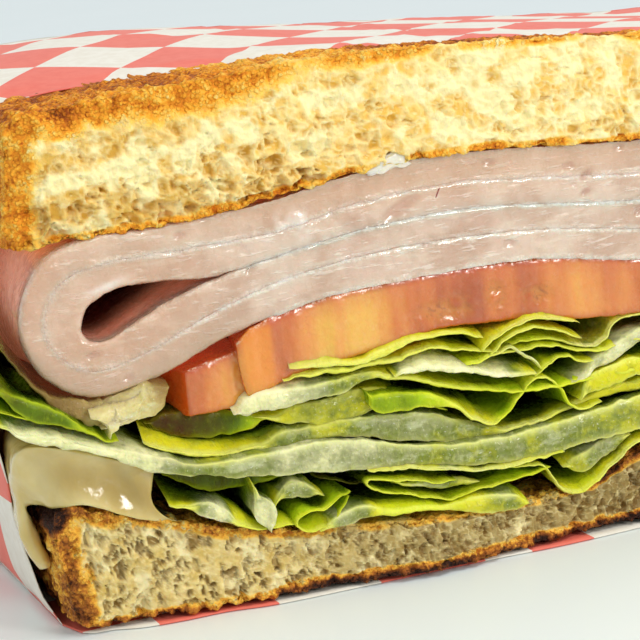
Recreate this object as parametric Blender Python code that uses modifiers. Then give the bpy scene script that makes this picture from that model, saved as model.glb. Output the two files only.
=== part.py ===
"""Half of a straight-cut turkey sandwich on toasted white bread, in its checked deli paper.

Sizes are in millimetres until at() turns them into metres in the part's frame. There x runs
right from the left crust, y back from the cut face and z up from the underside of the bread.
"""

import math

import bmesh
import bpy

MM = 0.001
LENGTH = 108.0  # along the cut face, the width of the whole slice
DEPTH = 54.0  # from the cut face to the back crust, half of the slice
PAPER = 0.5  # thickness of the paper
GAP = 0.3  # air between neighbouring pieces
CORNER = 14.0  # plan radius of the back corners of the slice
CRUST_EDGE = 2.6  # radius along the crust's upper and lower edges
LEAN = 2.5  # how much narrower a slice is at its underside
FILLING_BACK = 50.0  # how far back the filling reaches
SHARP = 40  # degrees between two faces from which their edge isn't shaded smooth

# How the soft filling settled. Each pair is where a stretch begins and ends.
TURKEY_RISE = (16.0, 28.0)  # heights from the leaves up to the turkey
TURKEY_FALL = (38.0, 42.0)  # heights from the turkey up to the upper slice
LEAVES_RISE = (8.0, 15.0)
LEAVES_FALL = (19.0, 25.0)
TURKEY_SWAY = 1.1  # how far the turkey wanders sideways
TURKEY_WAVE = 8.0  # length of that wave, as the next three are, for each radian
LEAF_WAVE = 6.5  # along the cut
LEAF_SKEW = 9.0  # how the wave turns further back
LEAF_SWELL = 6.0
LEAF_SWAY = 0.9  # how far the leaves wander up and down
TUCK = 0.55  # share of what sticks out at the left that draws in further back
TUCK_RUN = (7.0, 20.0)  # depths from which and to which it does


def at(x, y, z):
    return ((x - LENGTH / 2) * MM, (y - DEPTH / 2) * MM, (z + PAPER + GAP) * MM)


# Curves

def smooth(stations, values):
    """A function that passes through each value at its station and holds the end values beyond."""
    last = len(stations) - 1

    def slope(i):
        low, high = max(i - 1, 0), min(i + 1, last)
        return (values[high] - values[low]) / (stations[high] - stations[low])

    def value(s):
        if s <= stations[0]:
            return values[0]
        if s >= stations[last]:
            return values[last]
        i = max(k for k in range(last) if stations[k] <= s)
        span = stations[i + 1] - stations[i]
        t = (s - stations[i]) / span
        rise = values[i + 1] - values[i]
        bend = slope(i) * span * (1 - t) - slope(i + 1) * span * t - rise * (1 - 2 * t)
        return values[i] + rise * t + t * (1 - t) * bend

    return value


def level(*knots):
    """One size as a function of place, from (place, size) knots."""
    return smooth([k[0] for k in knots], [k[1] for k in knots])


def path(*knots):
    """A smooth curve through (x, z) knots, as a function of t from 0 to 1 along its length."""
    run = [0.0]
    for a, b in zip(knots, knots[1:]):
        run.append(run[-1] + math.dist(a, b))
    across = smooth(run, [k[0] for k in knots])
    up = smooth(run, [k[1] for k in knots])
    return lambda t: (across(t * run[-1]), up(t * run[-1]))


def facing(curve, t, step=0.004):
    """Unit vector square to a path at t, to the left of its direction."""
    ax, az = curve(max(t - step, 0.0))
    bx, bz = curve(min(t + step, 1.0))
    size = math.dist((ax, az), (bx, bz))
    return (az - bz) / size, (bx - ax) / size


def ease(s, start, end):
    """0 before start, 1 after end, smooth between."""
    t = min(max((s - start) / (end - start), 0.0), 1.0)
    return t * t * (3 - 2 * t)


def crowded(t, pull=0.72):
    """Moves grid lines from the middle towards both edges, where the shape bends."""
    reach = math.sin(pull * math.pi / 2)
    return 0.5 + 0.5 * math.sin((2 * t - 1) * pull * math.pi / 2) / reach


# Solids and materials

def finish(name, colour, roughness):
    material = bpy.data.materials.new(name)
    material.use_nodes = True
    shader = material.node_tree.nodes["Principled BSDF"]
    shader.inputs["Base Color"].default_value = (*colour, 1.0)
    shader.inputs["Roughness"].default_value = roughness
    shader.inputs["Metallic"].default_value = 0.0
    material.diffuse_color = (*colour, 1.0)
    return material


def add_object(name, mesh, material, closed=True):
    bmesh.ops.recalc_face_normals(mesh, faces=mesh.faces)
    if closed and mesh.calc_volume(signed=True) < 0:
        bmesh.ops.reverse_faces(mesh, faces=mesh.faces)
    data = bpy.data.meshes.new(name)
    mesh.to_mesh(data)
    mesh.free()
    data.materials.append(material)
    data.shade_smooth()
    data.set_sharp_from_angle(angle=math.radians(SHARP))
    piece = bpy.data.objects.new(name, data)
    sandwich.objects.link(piece)
    return piece


def slab(name, steps, place, material, split=False):
    """A grid raised to a closed slab, whose corners place(u, v, w) then sets, each from 0 to 1.

    A leaf is split into triangles before it is raised, so that both faces are split alike.
    """
    mesh = bmesh.new()
    bmesh.ops.create_grid(mesh, x_segments=steps[0], y_segments=steps[1], size=0.5)
    if split:
        bmesh.ops.triangulate(mesh, faces=mesh.faces)
    raised = bmesh.ops.extrude_face_region(mesh, geom=mesh.faces[:])
    upper = {item for item in raised["geom"] if isinstance(item, bmesh.types.BMVert)}
    for corner in mesh.verts:
        w = 1.0 if corner in upper else 0.0
        corner.co = at(*place(corner.co.x + 0.5, corner.co.y + 0.5, w))
    return add_object(name, mesh, material)


def settled(x, y, z):
    """The way the soft filling settled: its layers wander together, so they never cross."""
    in_turkey = ease(z, *TURKEY_RISE) * (1 - ease(z, *TURKEY_FALL))
    in_leaves = ease(z, *LEAVES_RISE) * (1 - ease(z, *LEAVES_FALL))
    x += TURKEY_SWAY * in_turkey * math.sin(y / TURKEY_WAVE)
    x -= TUCK * min(x, 0.0) * ease(y, *TUCK_RUN)
    z += LEAF_SWAY * in_leaves * math.sin(x / LEAF_WAVE + y / LEAF_SKEW) * math.sin(y / LEAF_SWELL)
    return x, y, z


# Bread, toasted outside: two half slices, the lower one pressed thin under the filling

TOP_UPPER = level((0, 55.6), (14, 56.4), (35, 57.2), (53, 56.4), (71, 55.0), (108, 53.4))
TOP_LOWER = level((0, 42.2), (5, 42.6), (18, 42.7), (38, 45.0), (50, 45.1), (70, 43.5), (108, 42.2))
BASE_UPPER = level((0, 14.2), (6, 12.1), (16, 9.0), (25, 6.9), (48, 4.8), (60, 5.0), (68, 7.8), (108, 9))
BASE_FRONT = level((0, 2.4), (12, 1.2), (25, -1.8), (40, -4.0), (55, -3.3), (68, -1.6), (108, 1.6))
TOP_FRONT = level((0, 0.9), (4, 0.2), (54, -0.6), (108, 0.4))
UPPER_SHARE = 0.4  # share of the lower slice's bulge that its upper edge has
BREAD_STEPS = (24, 12)
BREAD_PULL = 0.9  # how far its grid lines crowd towards the crusts


def half_width(y):
    """Half of the slice's width at a depth, with round back corners."""
    past = max(y - (DEPTH - CORNER), 0.0)
    return LENGTH / 2 - CORNER + math.sqrt(CORNER**2 - past**2)


def crust_drop(distance):
    """How far a toasted face drops near the crust."""
    inside = max(CRUST_EDGE - distance, 0.0)
    return CRUST_EDGE - math.sqrt(CRUST_EDGE**2 - inside**2)


def bread(name, lower, upper, front, upper_share, material):
    def place(u, v, w):
        y = DEPTH * math.sin(v * math.pi / 2)
        reach = half_width(y)
        side = 2 * crowded(u, BREAD_PULL) - 1
        x = LENGTH / 2 + side * (reach - LEAN * (1 - w))
        drop = crust_drop(min(reach * (1 - abs(side)), DEPTH - y))
        z = upper(x) - drop if w else lower(x) + drop
        share = upper_share if w else 1.0
        return x, y + front(x) * share * (1 - v) ** 2, z

    slab(name, BREAD_STEPS, place, material)


def build_bread():
    toast = finish("toasted_bread", (0.86, 0.62, 0.28), 0.85)
    underside = level((0, 0.0), (LENGTH, 0.0))
    bread("bread_top", TOP_LOWER, TOP_UPPER, TOP_FRONT, 1.0, toast)
    bread("bread_bottom", underside, BASE_UPPER, BASE_FRONT, UPPER_SHARE, toast)


# Turkey: two slices laid on each other and folded once, with a teardrop hollow in the fold

OUTER_BOUND = path(
    (104, 41.4), (70, 42.8), (50, 44.4), (38, 44.3), (24, 42.4), (12, 42.0), (5, 42.0), (0.6, 40.6),
    (-2.2, 37.0), (-2.9, 32.8), (-1.5, 29.0), (1.6, 26.3), (5.2, 25.4), (11, 26.6), (20, 29.9),
    (30, 32.0), (43, 32.5), (56, 32.2), (70, 29.9), (104, 27.0),
)
BETWEEN = path(
    (104, 38.2), (70, 39.5), (50, 41.6), (38, 41.5), (25, 39.6), (14, 39.4), (6, 39.3), (2.4, 38.3),
    (0.0, 35.8), (-0.4, 32.6), (0.8, 30.4), (2.6, 28.9), (5.2, 28.2), (10, 29.3), (20, 32.9),
    (30, 35.0), (43, 35.7), (56, 35.1), (70, 33.1), (104, 30.2),
)
HOLLOW_BOUND = path(
    (104, 34.7), (70, 36.6), (50, 38.8), (38, 38.7), (28, 37.6), (18.4, 36.3), (11, 36.5), (6.2, 36.0),
    (4.0, 34.6), (3.5, 32.6), (4.2, 31.4), (5.2, 31.1), (7.0, 31.6), (10, 32.8), (18.6, 35.3),
    (28, 36.9), (38, 38.0), (50, 38.1), (70, 35.9), (104, 34.0),
)
OUTER_FRONT = -0.4
INNER_FRONT = 0.2
TURKEY_STEPS = (48, 6)
FOLD_PULL = 0.6  # how far its grid lines crowd round the fold


def turkey_slice(name, outer, inner, front, material):
    """A folded slice between two folded curves, half a gap short of each."""
    def place(u, v, w):
        t = 0.5 + (u - 0.5) * abs(2 * u - 1) ** FOLD_PULL
        curve, side = (outer, 1) if w else (inner, -1)
        x, z = curve(t)
        nx, nz = facing(curve, t)
        y = front + (FILLING_BACK - front) * v
        return settled(x + nx * side * GAP / 2, y, z + nz * side * GAP / 2)

    slab(name, TURKEY_STEPS, place, material)


def build_turkey():
    turkey = finish("sliced_turkey", (0.84, 0.62, 0.54), 0.4)
    turkey_slice("turkey_outer", OUTER_BOUND, BETWEEN, OUTER_FRONT, turkey)
    turkey_slice("turkey_inner", BETWEEN, HOLLOW_BOUND, INNER_FRONT, turkey)


# Tomato: a half-round slice cut through its seeds, and the end of a second slice

TOMATO_RADIUS = 33.0
TOMATO_MIDDLE = (53.5, 1.0)  # in plan
TOMATO_LOWER = level((20, 22.0), (27, 24.2), (36, 25.0), (43.6, 26.0), (53, 25.5), (63, 24.0), (87, 22.6))
TOMATO_UPPER = level((20, 27.6), (22, 29.4), (28, 31.2), (36, 32.0), (48, 32.1), (60, 31.2), (70, 29.4),
                     (87, 27.8))
TOMATO_SKIN = 1.6  # how far the skin bulges between the two faces
TOMATO_CLIP = 0.97  # share of its radius to which the slice reaches back
END_FRONT = 0.6
END_BACK = 34.0
END_FACE = 5.0  # thickness of the end pieces
END_FOOT, END_TILT = 21.4, 0.8  # height of the underside, and how much thicker the right side is
LAST_FOOT, LAST_TILT = 22.0, -0.8
END_LEFT = level((0, 14.0), (9, 11.0), (20, 11.6), (34, 17.0))
END_RIGHT = level((0, 19.8), (12, 20.4), (34, 20.2))
LAST_LEFT = level((0, 88.4), (34, 90.0))
LAST_RIGHT = level((0, 101.6), (12, 103.6), (34, 99.0))


def build_tomato():
    flesh = finish("tomato", (0.80, 0.28, 0.14), 0.25)

    def main_slice(u, v, w):
        y = TOMATO_RADIUS * TOMATO_CLIP * math.sin(v * math.pi / 2)
        reach = math.sqrt(TOMATO_RADIUS**2 - (y - TOMATO_MIDDLE[1] * (1 - v)) ** 2)
        x = TOMATO_MIDDLE[0] + (2 * crowded(u) - 1) * (reach - TOMATO_SKIN * (1 - w))
        z = TOMATO_UPPER(x) - GAP if w else TOMATO_LOWER(x)
        return settled(x, y, z)

    def end_slice(left, right, foot, tilt):
        def place(u, v, w):
            y = END_FRONT + (END_BACK - END_FRONT) * v
            x = left(y) + (right(y) - left(y)) * u
            return settled(x, y, foot + w * (END_FACE + tilt * u))

        return place

    slab("tomato_slice", (16, 8), main_slice, flesh)
    slab("tomato_end", (3, 6), end_slice(END_LEFT, END_RIGHT, END_FOOT, END_TILT), flesh)
    slab("tomato_last", (4, 6), end_slice(LAST_LEFT, LAST_RIGHT, LAST_FOOT, LAST_TILT), flesh)


# Lettuce: thin wavy leaves that run back through the sandwich, from the tomato down to the bread

# name, knots along the cut, thickness, front edge and back edge
LEAVES = (
    ("leaf_left", ((-7.6, 31.6), (-5.4, 28.4), (-2.6, 25.3), (0.6, 23.2), (4.6, 21.9)), 1.1, -0.6, 30),
    ("leaf_long", ((-7.8, 25.6), (-4, 22.9), (0.4, 21.1), (4.4, 20.0), (8.4, 18.0), (14, 16.4), (21, 14.6),
                   (29, 13.6), (38, 12.6), (46, 11.2), (53, 10.4), (62, 10.8), (80, 11.4), (105, 11.0)),
     1.6, -1.2, 49),
    ("leaf_under_rib", ((14, 18.9), (19, 17.3), (25, 16.6), (32, 16.3), (38, 15.2), (45, 13.9), (53, 13.0),
                        (64, 13.6), (84, 14.0), (104, 13.2)), 1.2, 0.0, 48),
    ("leaf_pale", ((13, 20.4), (20, 19.4), (26, 18.8), (33, 18.3), (39, 16.9), (44, 15.7)), 1.1, 1.0, 40),
    ("leaf_fold", ((19.6, 20.5), (22.4, 21.6), (28, 21.6), (34, 21.6), (38.5, 21.0), (44, 19.0), (50, 17.6),
                   (56, 16.2), (66, 16.4), (86, 16.6), (102, 15.6)), 1.1, -0.8, 47),
    ("leaf_frill", ((35.0, 19.9), (38, 18.9), (41, 17.9), (43.4, 17.3)), 0.8, -0.4, 30),
    ("leaf_middle", ((26, 23.4), (33, 23.2), (38, 23.3), (42, 23.3), (47, 21.8), (53, 20.2), (57, 19.2),
                     (62, 18.8), (68, 20.2), (84, 19.6), (104, 18.2)), 1.1, -1.0, 48),
    ("leaf_upper", ((52, 22.6), (57, 22.4), (61, 21.4), (66, 22.3), (80, 21.4), (103, 20.6)), 1.0, -0.6, 46),
    ("leaf_low_left", ((10.6, 12.9), (14, 12.2), (17, 10.2), (20.2, 8.8), (23, 8.3)), 0.9, -0.8, 34),
    ("leaf_low_curl", ((21.5, 10.6), (23.2, 11.7), (25.8, 11.3), (28.4, 9.6), (27, 8.2), (24.9, 8.6)),
     0.8, -1.2, 26),
    ("leaf_low_front", ((29.4, 7.9), (34, 7.9), (39.5, 6.9), (45, 6.1), (51.5, 6.0)), 0.9, -1.6, 32),
    ("leaf_low_back", ((32.8, 10.8), (37, 9.9), (42, 8.6), (49, 7.7), (55, 7.8)), 0.9, 1.0, 44),
    ("leaf_right", ((54.5, 6.5), (57.5, 6.2), (60.5, 6.6), (64, 8.9), (70, 9.1)), 0.9, -0.6, 38),
)
RIB = ((1.6, 24.6), (4.5, 24.0), (7.6, 24.1), (10.2, 24.5))  # stub of a thick pale rib under the fold
RIB_THICKNESS, RIB_FRONT, RIB_BACK = 1.6, -0.4, 28
LEAF_STEP = 3.4  # length of one step along a leaf's cut edge
LEAF_STEPS = (5, 22)  # fewest and most
LEAF_TAPER = 0.22  # share of its thickness that a leaf loses at both ends, from half on each side
LEAF_ROUND = 4.0  # how much shorter its ends are further back


def leaf(name, knots, thickness, front, back, colour):
    line = path(*knots)
    run = sum(math.dist(a, b) for a, b in zip(knots, knots[1:]))
    fewest, most = LEAF_STEPS
    steps = max(fewest, min(most, round(run / LEAF_STEP)))

    def place(u, v, w):
        x, z = line(u)
        nx, nz = facing(line, u, 0.02)
        half = thickness * (0.5 - LEAF_TAPER * abs(2 * u - 1) ** 6) * (2 * w - 1)
        y = front + (back - LEAF_ROUND * (2 * u - 1) ** 2 - front) * v
        return settled(x + nx * half, y, z + nz * half)

    slab(name, (steps, 5), place, colour, split=True)


def build_lettuce():
    green = finish("lettuce", (0.46, 0.66, 0.18), 0.45)
    pale = finish("lettuce_rib", (0.74, 0.74, 0.52), 0.45)
    for name, knots, thickness, front, back in LEAVES:
        leaf(name, knots, thickness, front, back, green)
    leaf("rib_stub", RIB, RIB_THICKNESS, RIB_FRONT, RIB_BACK, pale)


# Mayonnaise: a pool between the long leaf and the lower slice, with a drip, and a dab above

POOL = path((9.8, 14.4), (6.0, 15.8), (2.0, 17.0), (-1.6, 17.6), (-4.0, 16.4), (-4.6, 13.4),
            (-4.2, 9.4), (-3.4, 7.4))
POOL_HALF = level((0, 1.0), (0.12, 1.9), (0.35, 2.2), (0.5, 1.9), (0.62, 1.1), (0.8, 0.7), (1, 0.4))
POOL_FRONT = -0.2
POOL_BACK = 40.0
DRIP_BACK = 12.0
DRIP_RUN = (0.35, 0.6)  # shares of the pool's line between which it gets shallow
DAB_MIDDLE = (38.6, -1.7, 44.75)
DAB_SIZE = (2.2, 0.9, 1.3)


def build_mayonnaise():
    sauce = finish("mayonnaise", (0.88, 0.80, 0.58), 0.2)

    def pool(u, v, w):
        x, z = POOL(u)
        nx, nz = facing(POOL, u, 0.02)
        half = POOL_HALF(u) * (1 - 2 * w)
        back = POOL_BACK - (POOL_BACK - DRIP_BACK) * ease(u, *DRIP_RUN)
        y = POOL_FRONT + (back - POOL_FRONT) * v
        return settled(x + nx * half, y, z + nz * half)

    slab("mayonnaise", (18, 6), pool, sauce)
    mesh = bmesh.new()
    bmesh.ops.create_uvsphere(mesh, u_segments=14, v_segments=8, radius=1.0)
    for corner in mesh.verts:
        corner.co = at(*(m + s * c for m, s, c in zip(DAB_MIDDLE, DAB_SIZE, corner.co)))
    add_object("mayonnaise_dab", mesh, sauce)


# Paper: one sheet under the sandwich and up round its back and sides, open at the cut face

PAPER_BACK = DEPTH + 2.2
BASE_EDGE = level((0, 1.0), (14, -0.4), (30, -3.2), (48, -5.0), (66, -4.8), (90, -2.6), (108, -0.6))
LEFT_EDGE = level((0, 1.0), (2.4, 10), (6, 14.5), (12, 18.5), (20, 22), (34, 24), (48, 21), (58, 17))
RIGHT_EDGE = level((0, -0.6), (6, 4), (20, 10), (40, 10), (58, 4))
TOP_EDGE = level((0, 17), (20, 14), (40, 7.5), (60, 4.5), (108, 4))
WALL = 57.0  # height of a wall before it is fitted to the bread
WALL_GAP = 1.6  # between the crust and the paper's wall at its foot
WALL_BELLY = 4.6  # how much further the wall stands out half way up
BELLY_RISE = 60.0  # height of the whole belly
BELLY_RUN = (-4, 16)  # depths between which it grows to that
CORNER_SHARE = 0.9  # share of the slice's round corner that the paper follows
REST = 0.8  # between the bread's top and the paper over it
TOP_RISE = 2.2  # how far the paper domes over the back left of the bread
DOME_BACK = (10.0, 44.0)  # depths between which it rises
DOME_LEFT = (10.0, 84.0)  # places between which it loses most of that again
DOME_LOSS = 0.75
CREASE = 0.5  # height of the waves over the top
CREASE_WAVE = 9.0
CREASE_RUN = (12.0, 30.0)
WRAP_CUTS = 8
OUTER = 0.999  # a point of the cube beyond this lies on that face


def wrap_height(x, y):
    lift = ease(y, *DOME_BACK) * (1 - DOME_LOSS * ease(x, *DOME_LEFT))
    crease = CREASE * math.sin(x / CREASE_WAVE) * ease(y, *CREASE_RUN)
    return TOP_UPPER(x) + REST + TOP_RISE * lift + crease


def sleeve(a, b, c):
    """Place of a point of the cube from -1 to 1: a across, b back, c up."""
    share = (a + 1) / 2
    z = (c + 1) / 2 * WALL
    if c > OUTER:
        edge = TOP_EDGE(share * LENGTH)
    elif c < -OUTER:
        edge = BASE_EDGE(share * LENGTH)
    else:
        edge = LEFT_EDGE(z) if a < 0 else RIGHT_EDGE(z)
    y = edge + (PAPER_BACK - edge) * (b + 1) / 2
    past = max(y - (PAPER_BACK - CORNER), 0.0)
    tuck = CORNER - math.sqrt(max(CORNER**2 - past**2, 0.0))
    belly = WALL_GAP + WALL_BELLY * math.sin(math.pi * min(z / BELLY_RISE, 1.0)) * ease(y, *BELLY_RUN)
    x = LENGTH / 2 + a * (LENGTH / 2 + belly - CORNER_SHARE * tuck)
    if c < -OUTER:
        return x, y, -PAPER - GAP
    return x, y, z / WALL * wrap_height(x, y)


def build_paper():
    paper = finish("checked_paper", (0.92, 0.55, 0.50), 0.6)
    mesh = bmesh.new()
    bmesh.ops.create_cube(mesh, size=2.0)
    bmesh.ops.subdivide_edges(mesh, edges=mesh.edges, cuts=WRAP_CUTS, use_grid_fill=True)
    open_side = [face for face in mesh.faces if face.calc_center_median().y < -OUTER]
    bmesh.ops.delete(mesh, geom=open_side, context="FACES")
    for corner in mesh.verts:
        corner.co = at(*sleeve(*corner.co))
    wrap = add_object("paper_wrap", mesh, paper, closed=False)
    wall = wrap.modifiers.new("thickness", "SOLIDIFY")
    wall.thickness = PAPER * MM
    wall.offset = -1.0


for stale in list(bpy.data.objects):
    bpy.data.objects.remove(stale)
sandwich = bpy.data.collections.new("turkey_sandwich")
bpy.context.scene.collection.children.link(sandwich)
build_bread()
build_turkey()
build_tomato()
build_lettuce()
build_mayonnaise()
build_paper()
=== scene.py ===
import math

import bmesh
import bpy
import numpy as np
from mathutils import Matrix, Vector


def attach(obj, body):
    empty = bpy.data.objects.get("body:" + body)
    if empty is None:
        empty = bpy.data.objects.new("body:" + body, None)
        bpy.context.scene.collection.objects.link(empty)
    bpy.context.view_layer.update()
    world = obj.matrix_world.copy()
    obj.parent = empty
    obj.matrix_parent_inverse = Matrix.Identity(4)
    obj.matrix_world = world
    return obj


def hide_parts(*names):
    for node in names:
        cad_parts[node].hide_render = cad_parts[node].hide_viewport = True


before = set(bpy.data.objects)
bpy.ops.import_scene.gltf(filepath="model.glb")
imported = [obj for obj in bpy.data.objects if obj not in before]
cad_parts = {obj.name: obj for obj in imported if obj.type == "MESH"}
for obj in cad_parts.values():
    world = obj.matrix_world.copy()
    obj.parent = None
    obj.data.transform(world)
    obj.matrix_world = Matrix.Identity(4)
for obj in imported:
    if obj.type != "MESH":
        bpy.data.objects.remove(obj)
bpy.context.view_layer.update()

# Camera and light
# The sandwich stands on a plain white top with its cut face turned to the lens, a little to the
# right. Soft light comes from above and in front, and the pale room behind fills the shadows.
MM = 0.001
LENGTH = 108.0  # along the cut face
DEPTH = 54.0  # from the cut face to the back crust
PAPER = 0.5  # what the sheet under the bread takes up
GAP = 0.3  # air between neighbouring pieces
AZIMUTH, ELEVATION, ROLL = (math.radians(a) for a in (-21.0, 11.5, 5.973))
LENS_TO_AIM = 235.9
AIM = (29.69, 0.0, 29.41)
SENSOR = 36.0
FOCAL = 123.75


def at(x, y, z):
    """From millimetres right of the left crust, behind the cut face and above the bread's underside."""
    return Vector(((x - LENGTH / 2) * MM, (y - DEPTH / 2) * MM, (z + PAPER + GAP) * MM))


back = Vector((math.sin(AZIMUTH) * math.cos(ELEVATION), -math.cos(AZIMUTH) * math.cos(ELEVATION),
               math.sin(ELEVATION)))
right = Vector((math.cos(AZIMUTH), math.sin(AZIMUTH), 0.0))
above = back.cross(right)
turned_right = right * math.cos(ROLL) - above * math.sin(ROLL)
turned_up = right * math.sin(ROLL) + above * math.cos(ROLL)
lens = bpy.data.cameras.new("lens")
lens.sensor_width = SENSOR
lens.lens = FOCAL
lens.clip_start = 0.01
camera = bpy.data.objects.new("camera", lens)
bpy.context.scene.collection.objects.link(camera)
placed = Matrix((turned_right, turned_up, back)).transposed().to_4x4()
placed.translation = at(*AIM) + back * LENS_TO_AIM * MM
camera.matrix_world = placed
bpy.context.scene.camera = camera
bpy.context.scene.view_settings.view_transform = "Standard"


def softbox(name, place, aim, size, watts, colour):
    """A square soft light at a place in metres, turned to a point."""
    data = bpy.data.lights.new(name, "AREA")
    data.shape = "SQUARE"
    data.size = size
    data.energy = watts
    data.color = colour
    lamp = bpy.data.objects.new(name, data)
    lamp.location = place
    lamp.rotation_euler = (Vector(place) - Vector(aim)).to_track_quat("Z", "Y").to_euler()
    bpy.context.scene.collection.objects.link(lamp)


softbox("window_above", (0.12, -0.25, 0.62), (0.0, 0.0, 0.03), 0.22, 1.1, (1.0, 0.98, 0.95))
softbox("window_front", (0.30, -0.60, 0.30), (0.0, 0.0, 0.03), 0.13, 1.5, (1.0, 0.97, 0.93))
room = bpy.data.worlds.new("pale_room")
room.use_nodes = True
room.node_tree.nodes["Background"].inputs["Color"].default_value = (0.80, 0.85, 0.86, 1.0)
room.node_tree.nodes["Background"].inputs["Strength"].default_value = 0.98
bpy.context.scene.world = room

# Bread
# Two half slices of white sandwich bread, toasted outside. The crumb is full of small holes, the
# toasted faces are granular and brown, and the lower slice is pressed thin under the filling.


class Wire:
    """An output of one node of a material. Arithmetic on it adds Math nodes."""

    def __init__(self, tree, socket=None):
        self.tree = tree
        self.socket = socket

    def node(self, kind, settings=None, sockets=None, out=0):
        made = self.tree.nodes.new(kind)
        for name, value in (settings or {}).items():
            if name == "stops":
                ramp = made.color_ramp
                while len(ramp.elements) < len(value):
                    ramp.elements.new(1.0)
                for stop, (place, colour) in zip(ramp.elements, value):
                    stop.position = place
                    stop.color = (*colour, 1.0)
            else:
                setattr(made, name, value)
        for name, value in (sockets or {}).items():
            if isinstance(value, Wire):
                self.tree.links.new(value.socket, made.inputs[name])
            else:
                made.inputs[name].default_value = value
        return Wire(self.tree, made.outputs[out])

    def math(self, operation, *others, clamp=False):
        return self.node("ShaderNodeMath", {"operation": operation, "use_clamp": clamp},
                         dict(enumerate((self, *others))))

    def __add__(self, other):
        return self.math("ADD", other)

    def __sub__(self, other):
        return self.math("SUBTRACT", other)

    def __mul__(self, other):
        return self.math("MULTIPLY", other)

    def __rsub__(self, other):
        return self.node("ShaderNodeMath", {"operation": "SUBTRACT"}, {0: other, 1: self})

    __radd__ = __add__
    __rmul__ = __mul__

    def held(self):
        """Kept between 0 and 1."""
        return self.math("ADD", 0.0, clamp=True)

    def between(self, low, high):
        """0 below low, 1 above high, smooth between."""
        return self.node("ShaderNodeMapRange", {"interpolation_type": "SMOOTHSTEP"},
                         {"Value": self, "From Min": low, "From Max": high})

    def blend(self, first, second):
        """The first colour where this is 0 and the second where it is 1."""
        sockets = {0: self}
        for place, colour in ((6, first), (7, second)):
            sockets[place] = colour if isinstance(colour, Wire) else (*colour, 1.0)
        return self.node("ShaderNodeMix", {"data_type": "RGBA", "clamp_factor": True}, sockets, out=2)

    def ramp(self, *stops):
        return self.node("ShaderNodeValToRGB", {"stops": stops}, {"Fac": self})


def start(name):
    """A new material, its Principled shader, and a wire of its Object coordinates in millimetres."""
    material = bpy.data.materials.new(name)
    material.use_nodes = True
    tree = material.node_tree
    shader = tree.nodes["Principled BSDF"]
    spot = Wire(tree).node("ShaderNodeTexCoord", out=3)
    spot = spot.node("ShaderNodeMapping", {}, {"Vector": spot, "Scale": (1000.0, 1000.0, 1000.0)})
    return material, shader, spot


def noise(spot, size, detail=3.0, rough=0.55, stretch=None):
    """Noise from 0 to 1 whose grains are about this many millimetres."""
    if stretch:
        spot = spot.node("ShaderNodeMapping", {}, {"Vector": spot, "Scale": stretch})
    return spot.node("ShaderNodeTexNoise", {"noise_dimensions": "3D"},
                     {"Vector": spot, "Scale": 1.0 / size, "Detail": detail, "Roughness": rough})


def cellular(spot, size):
    """How far it is to the nearest of scattered points, which lie about this many millimetres apart."""
    return spot.node("ShaderNodeTexVoronoi", {}, {"Vector": spot, "Scale": 1.0 / size})


def warped(spot, size, reach):
    """The coordinates pushed about by up to half this reach, so that cells lose their straight sides."""
    swirl = spot.node("ShaderNodeTexNoise", {}, {"Vector": spot, "Scale": 1.0 / size, "Detail": 2.0}, out=1)
    return spot.node("ShaderNodeVectorMath", {"operation": "MULTIPLY_ADD"},
                     {0: swirl, 1: (reach, reach, reach), 2: spot})


def stored(spot, name):
    """A value that the mesh keeps at each point, or at each corner of its faces."""
    return spot.node("ShaderNodeAttribute", {"attribute_name": name}, out=2)


def relief(spot, height, depth):
    """A bump whose full height is this many millimetres."""
    return spot.node("ShaderNodeBump", {}, {"Height": height, "Distance": depth * MM, "Strength": 1.0})


def join(wire, shader, socket):
    wire.tree.links.new(wire.socket, shader.inputs[socket])


def steady(shader, values):
    """Sets the values that are the same all over a surface."""
    for socket, value in values.items():
        shader.inputs[socket].default_value = value


CORNER = 14.0
CRUST_EDGE = 2.6
LEAN = 2.5
BREAD_STEPS = (430, 56, 84)
# Lines along the cut, as pairs of x and height, and how far back of the cut plane each slice's face lies
TOP_UPPER = ((0, 55.6), (14, 56.4), (35, 57.2), (53, 56.4), (71, 55.0), (108, 53.4))
TOP_LOWER = ((-3, 41.2), (0, 41.8), (4, 42.2), (18, 42.4), (38, 44.8), (50, 44.9), (70, 43.3), (108, 42.0))
BASE_UPPER = ((0, 14.2), (6, 12.1), (16, 9.0), (25, 6.9), (48, 4.8), (60, 5.0), (68, 7.8), (108, 9))
BASE_FRONT = ((-2, 4.4), (0, 3.5), (2, 3.0), (5, 2.9), (8, 2.6), (14, 1.2), (22, 0.1), (27, -0.2),
              (33, -1.8), (38, -3.2), (44, -3.0), (52, -1.8), (60, -1.2), (68, -1.7), (108, 1.6))
TOP_FRONT = ((-3, 3.2), (-1, 1.5), (2, 0.3), (54, -0.6), (108, 0.4))
UPPER_SHARE = 0.4


def ease(s, low, high):
    """0 below low, 1 above high, smooth between."""
    t = np.clip((s - low) / (high - low), 0.0, 1.0)
    return t * t * (3 - 2 * t)


def curve(stations, values, s):
    """A smooth line through each value at its station, read at every s."""
    stations, values = np.asarray(stations, float), np.asarray(values, float)
    last = len(stations) - 1
    low, high = np.maximum(np.arange(last + 1) - 1, 0), np.minimum(np.arange(last + 1) + 1, last)
    slopes = (values[high] - values[low]) / (stations[high] - stations[low])
    s = np.clip(s, stations[0], stations[last])
    i = np.clip(np.searchsorted(stations, s, side="right") - 1, 0, last - 1)
    span = stations[i + 1] - stations[i]
    t = (s - stations[i]) / span
    rise = values[i + 1] - values[i]
    bend = slopes[i] * span * (1 - t) - slopes[i + 1] * span * t - rise * (1 - 2 * t)
    return values[i] + rise * t + t * (1 - t) * bend


def level(knots, s):
    """The smooth line through pairs of a station and a value, read at every s."""
    return curve([k[0] for k in knots], [k[1] for k in knots], s)


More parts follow.
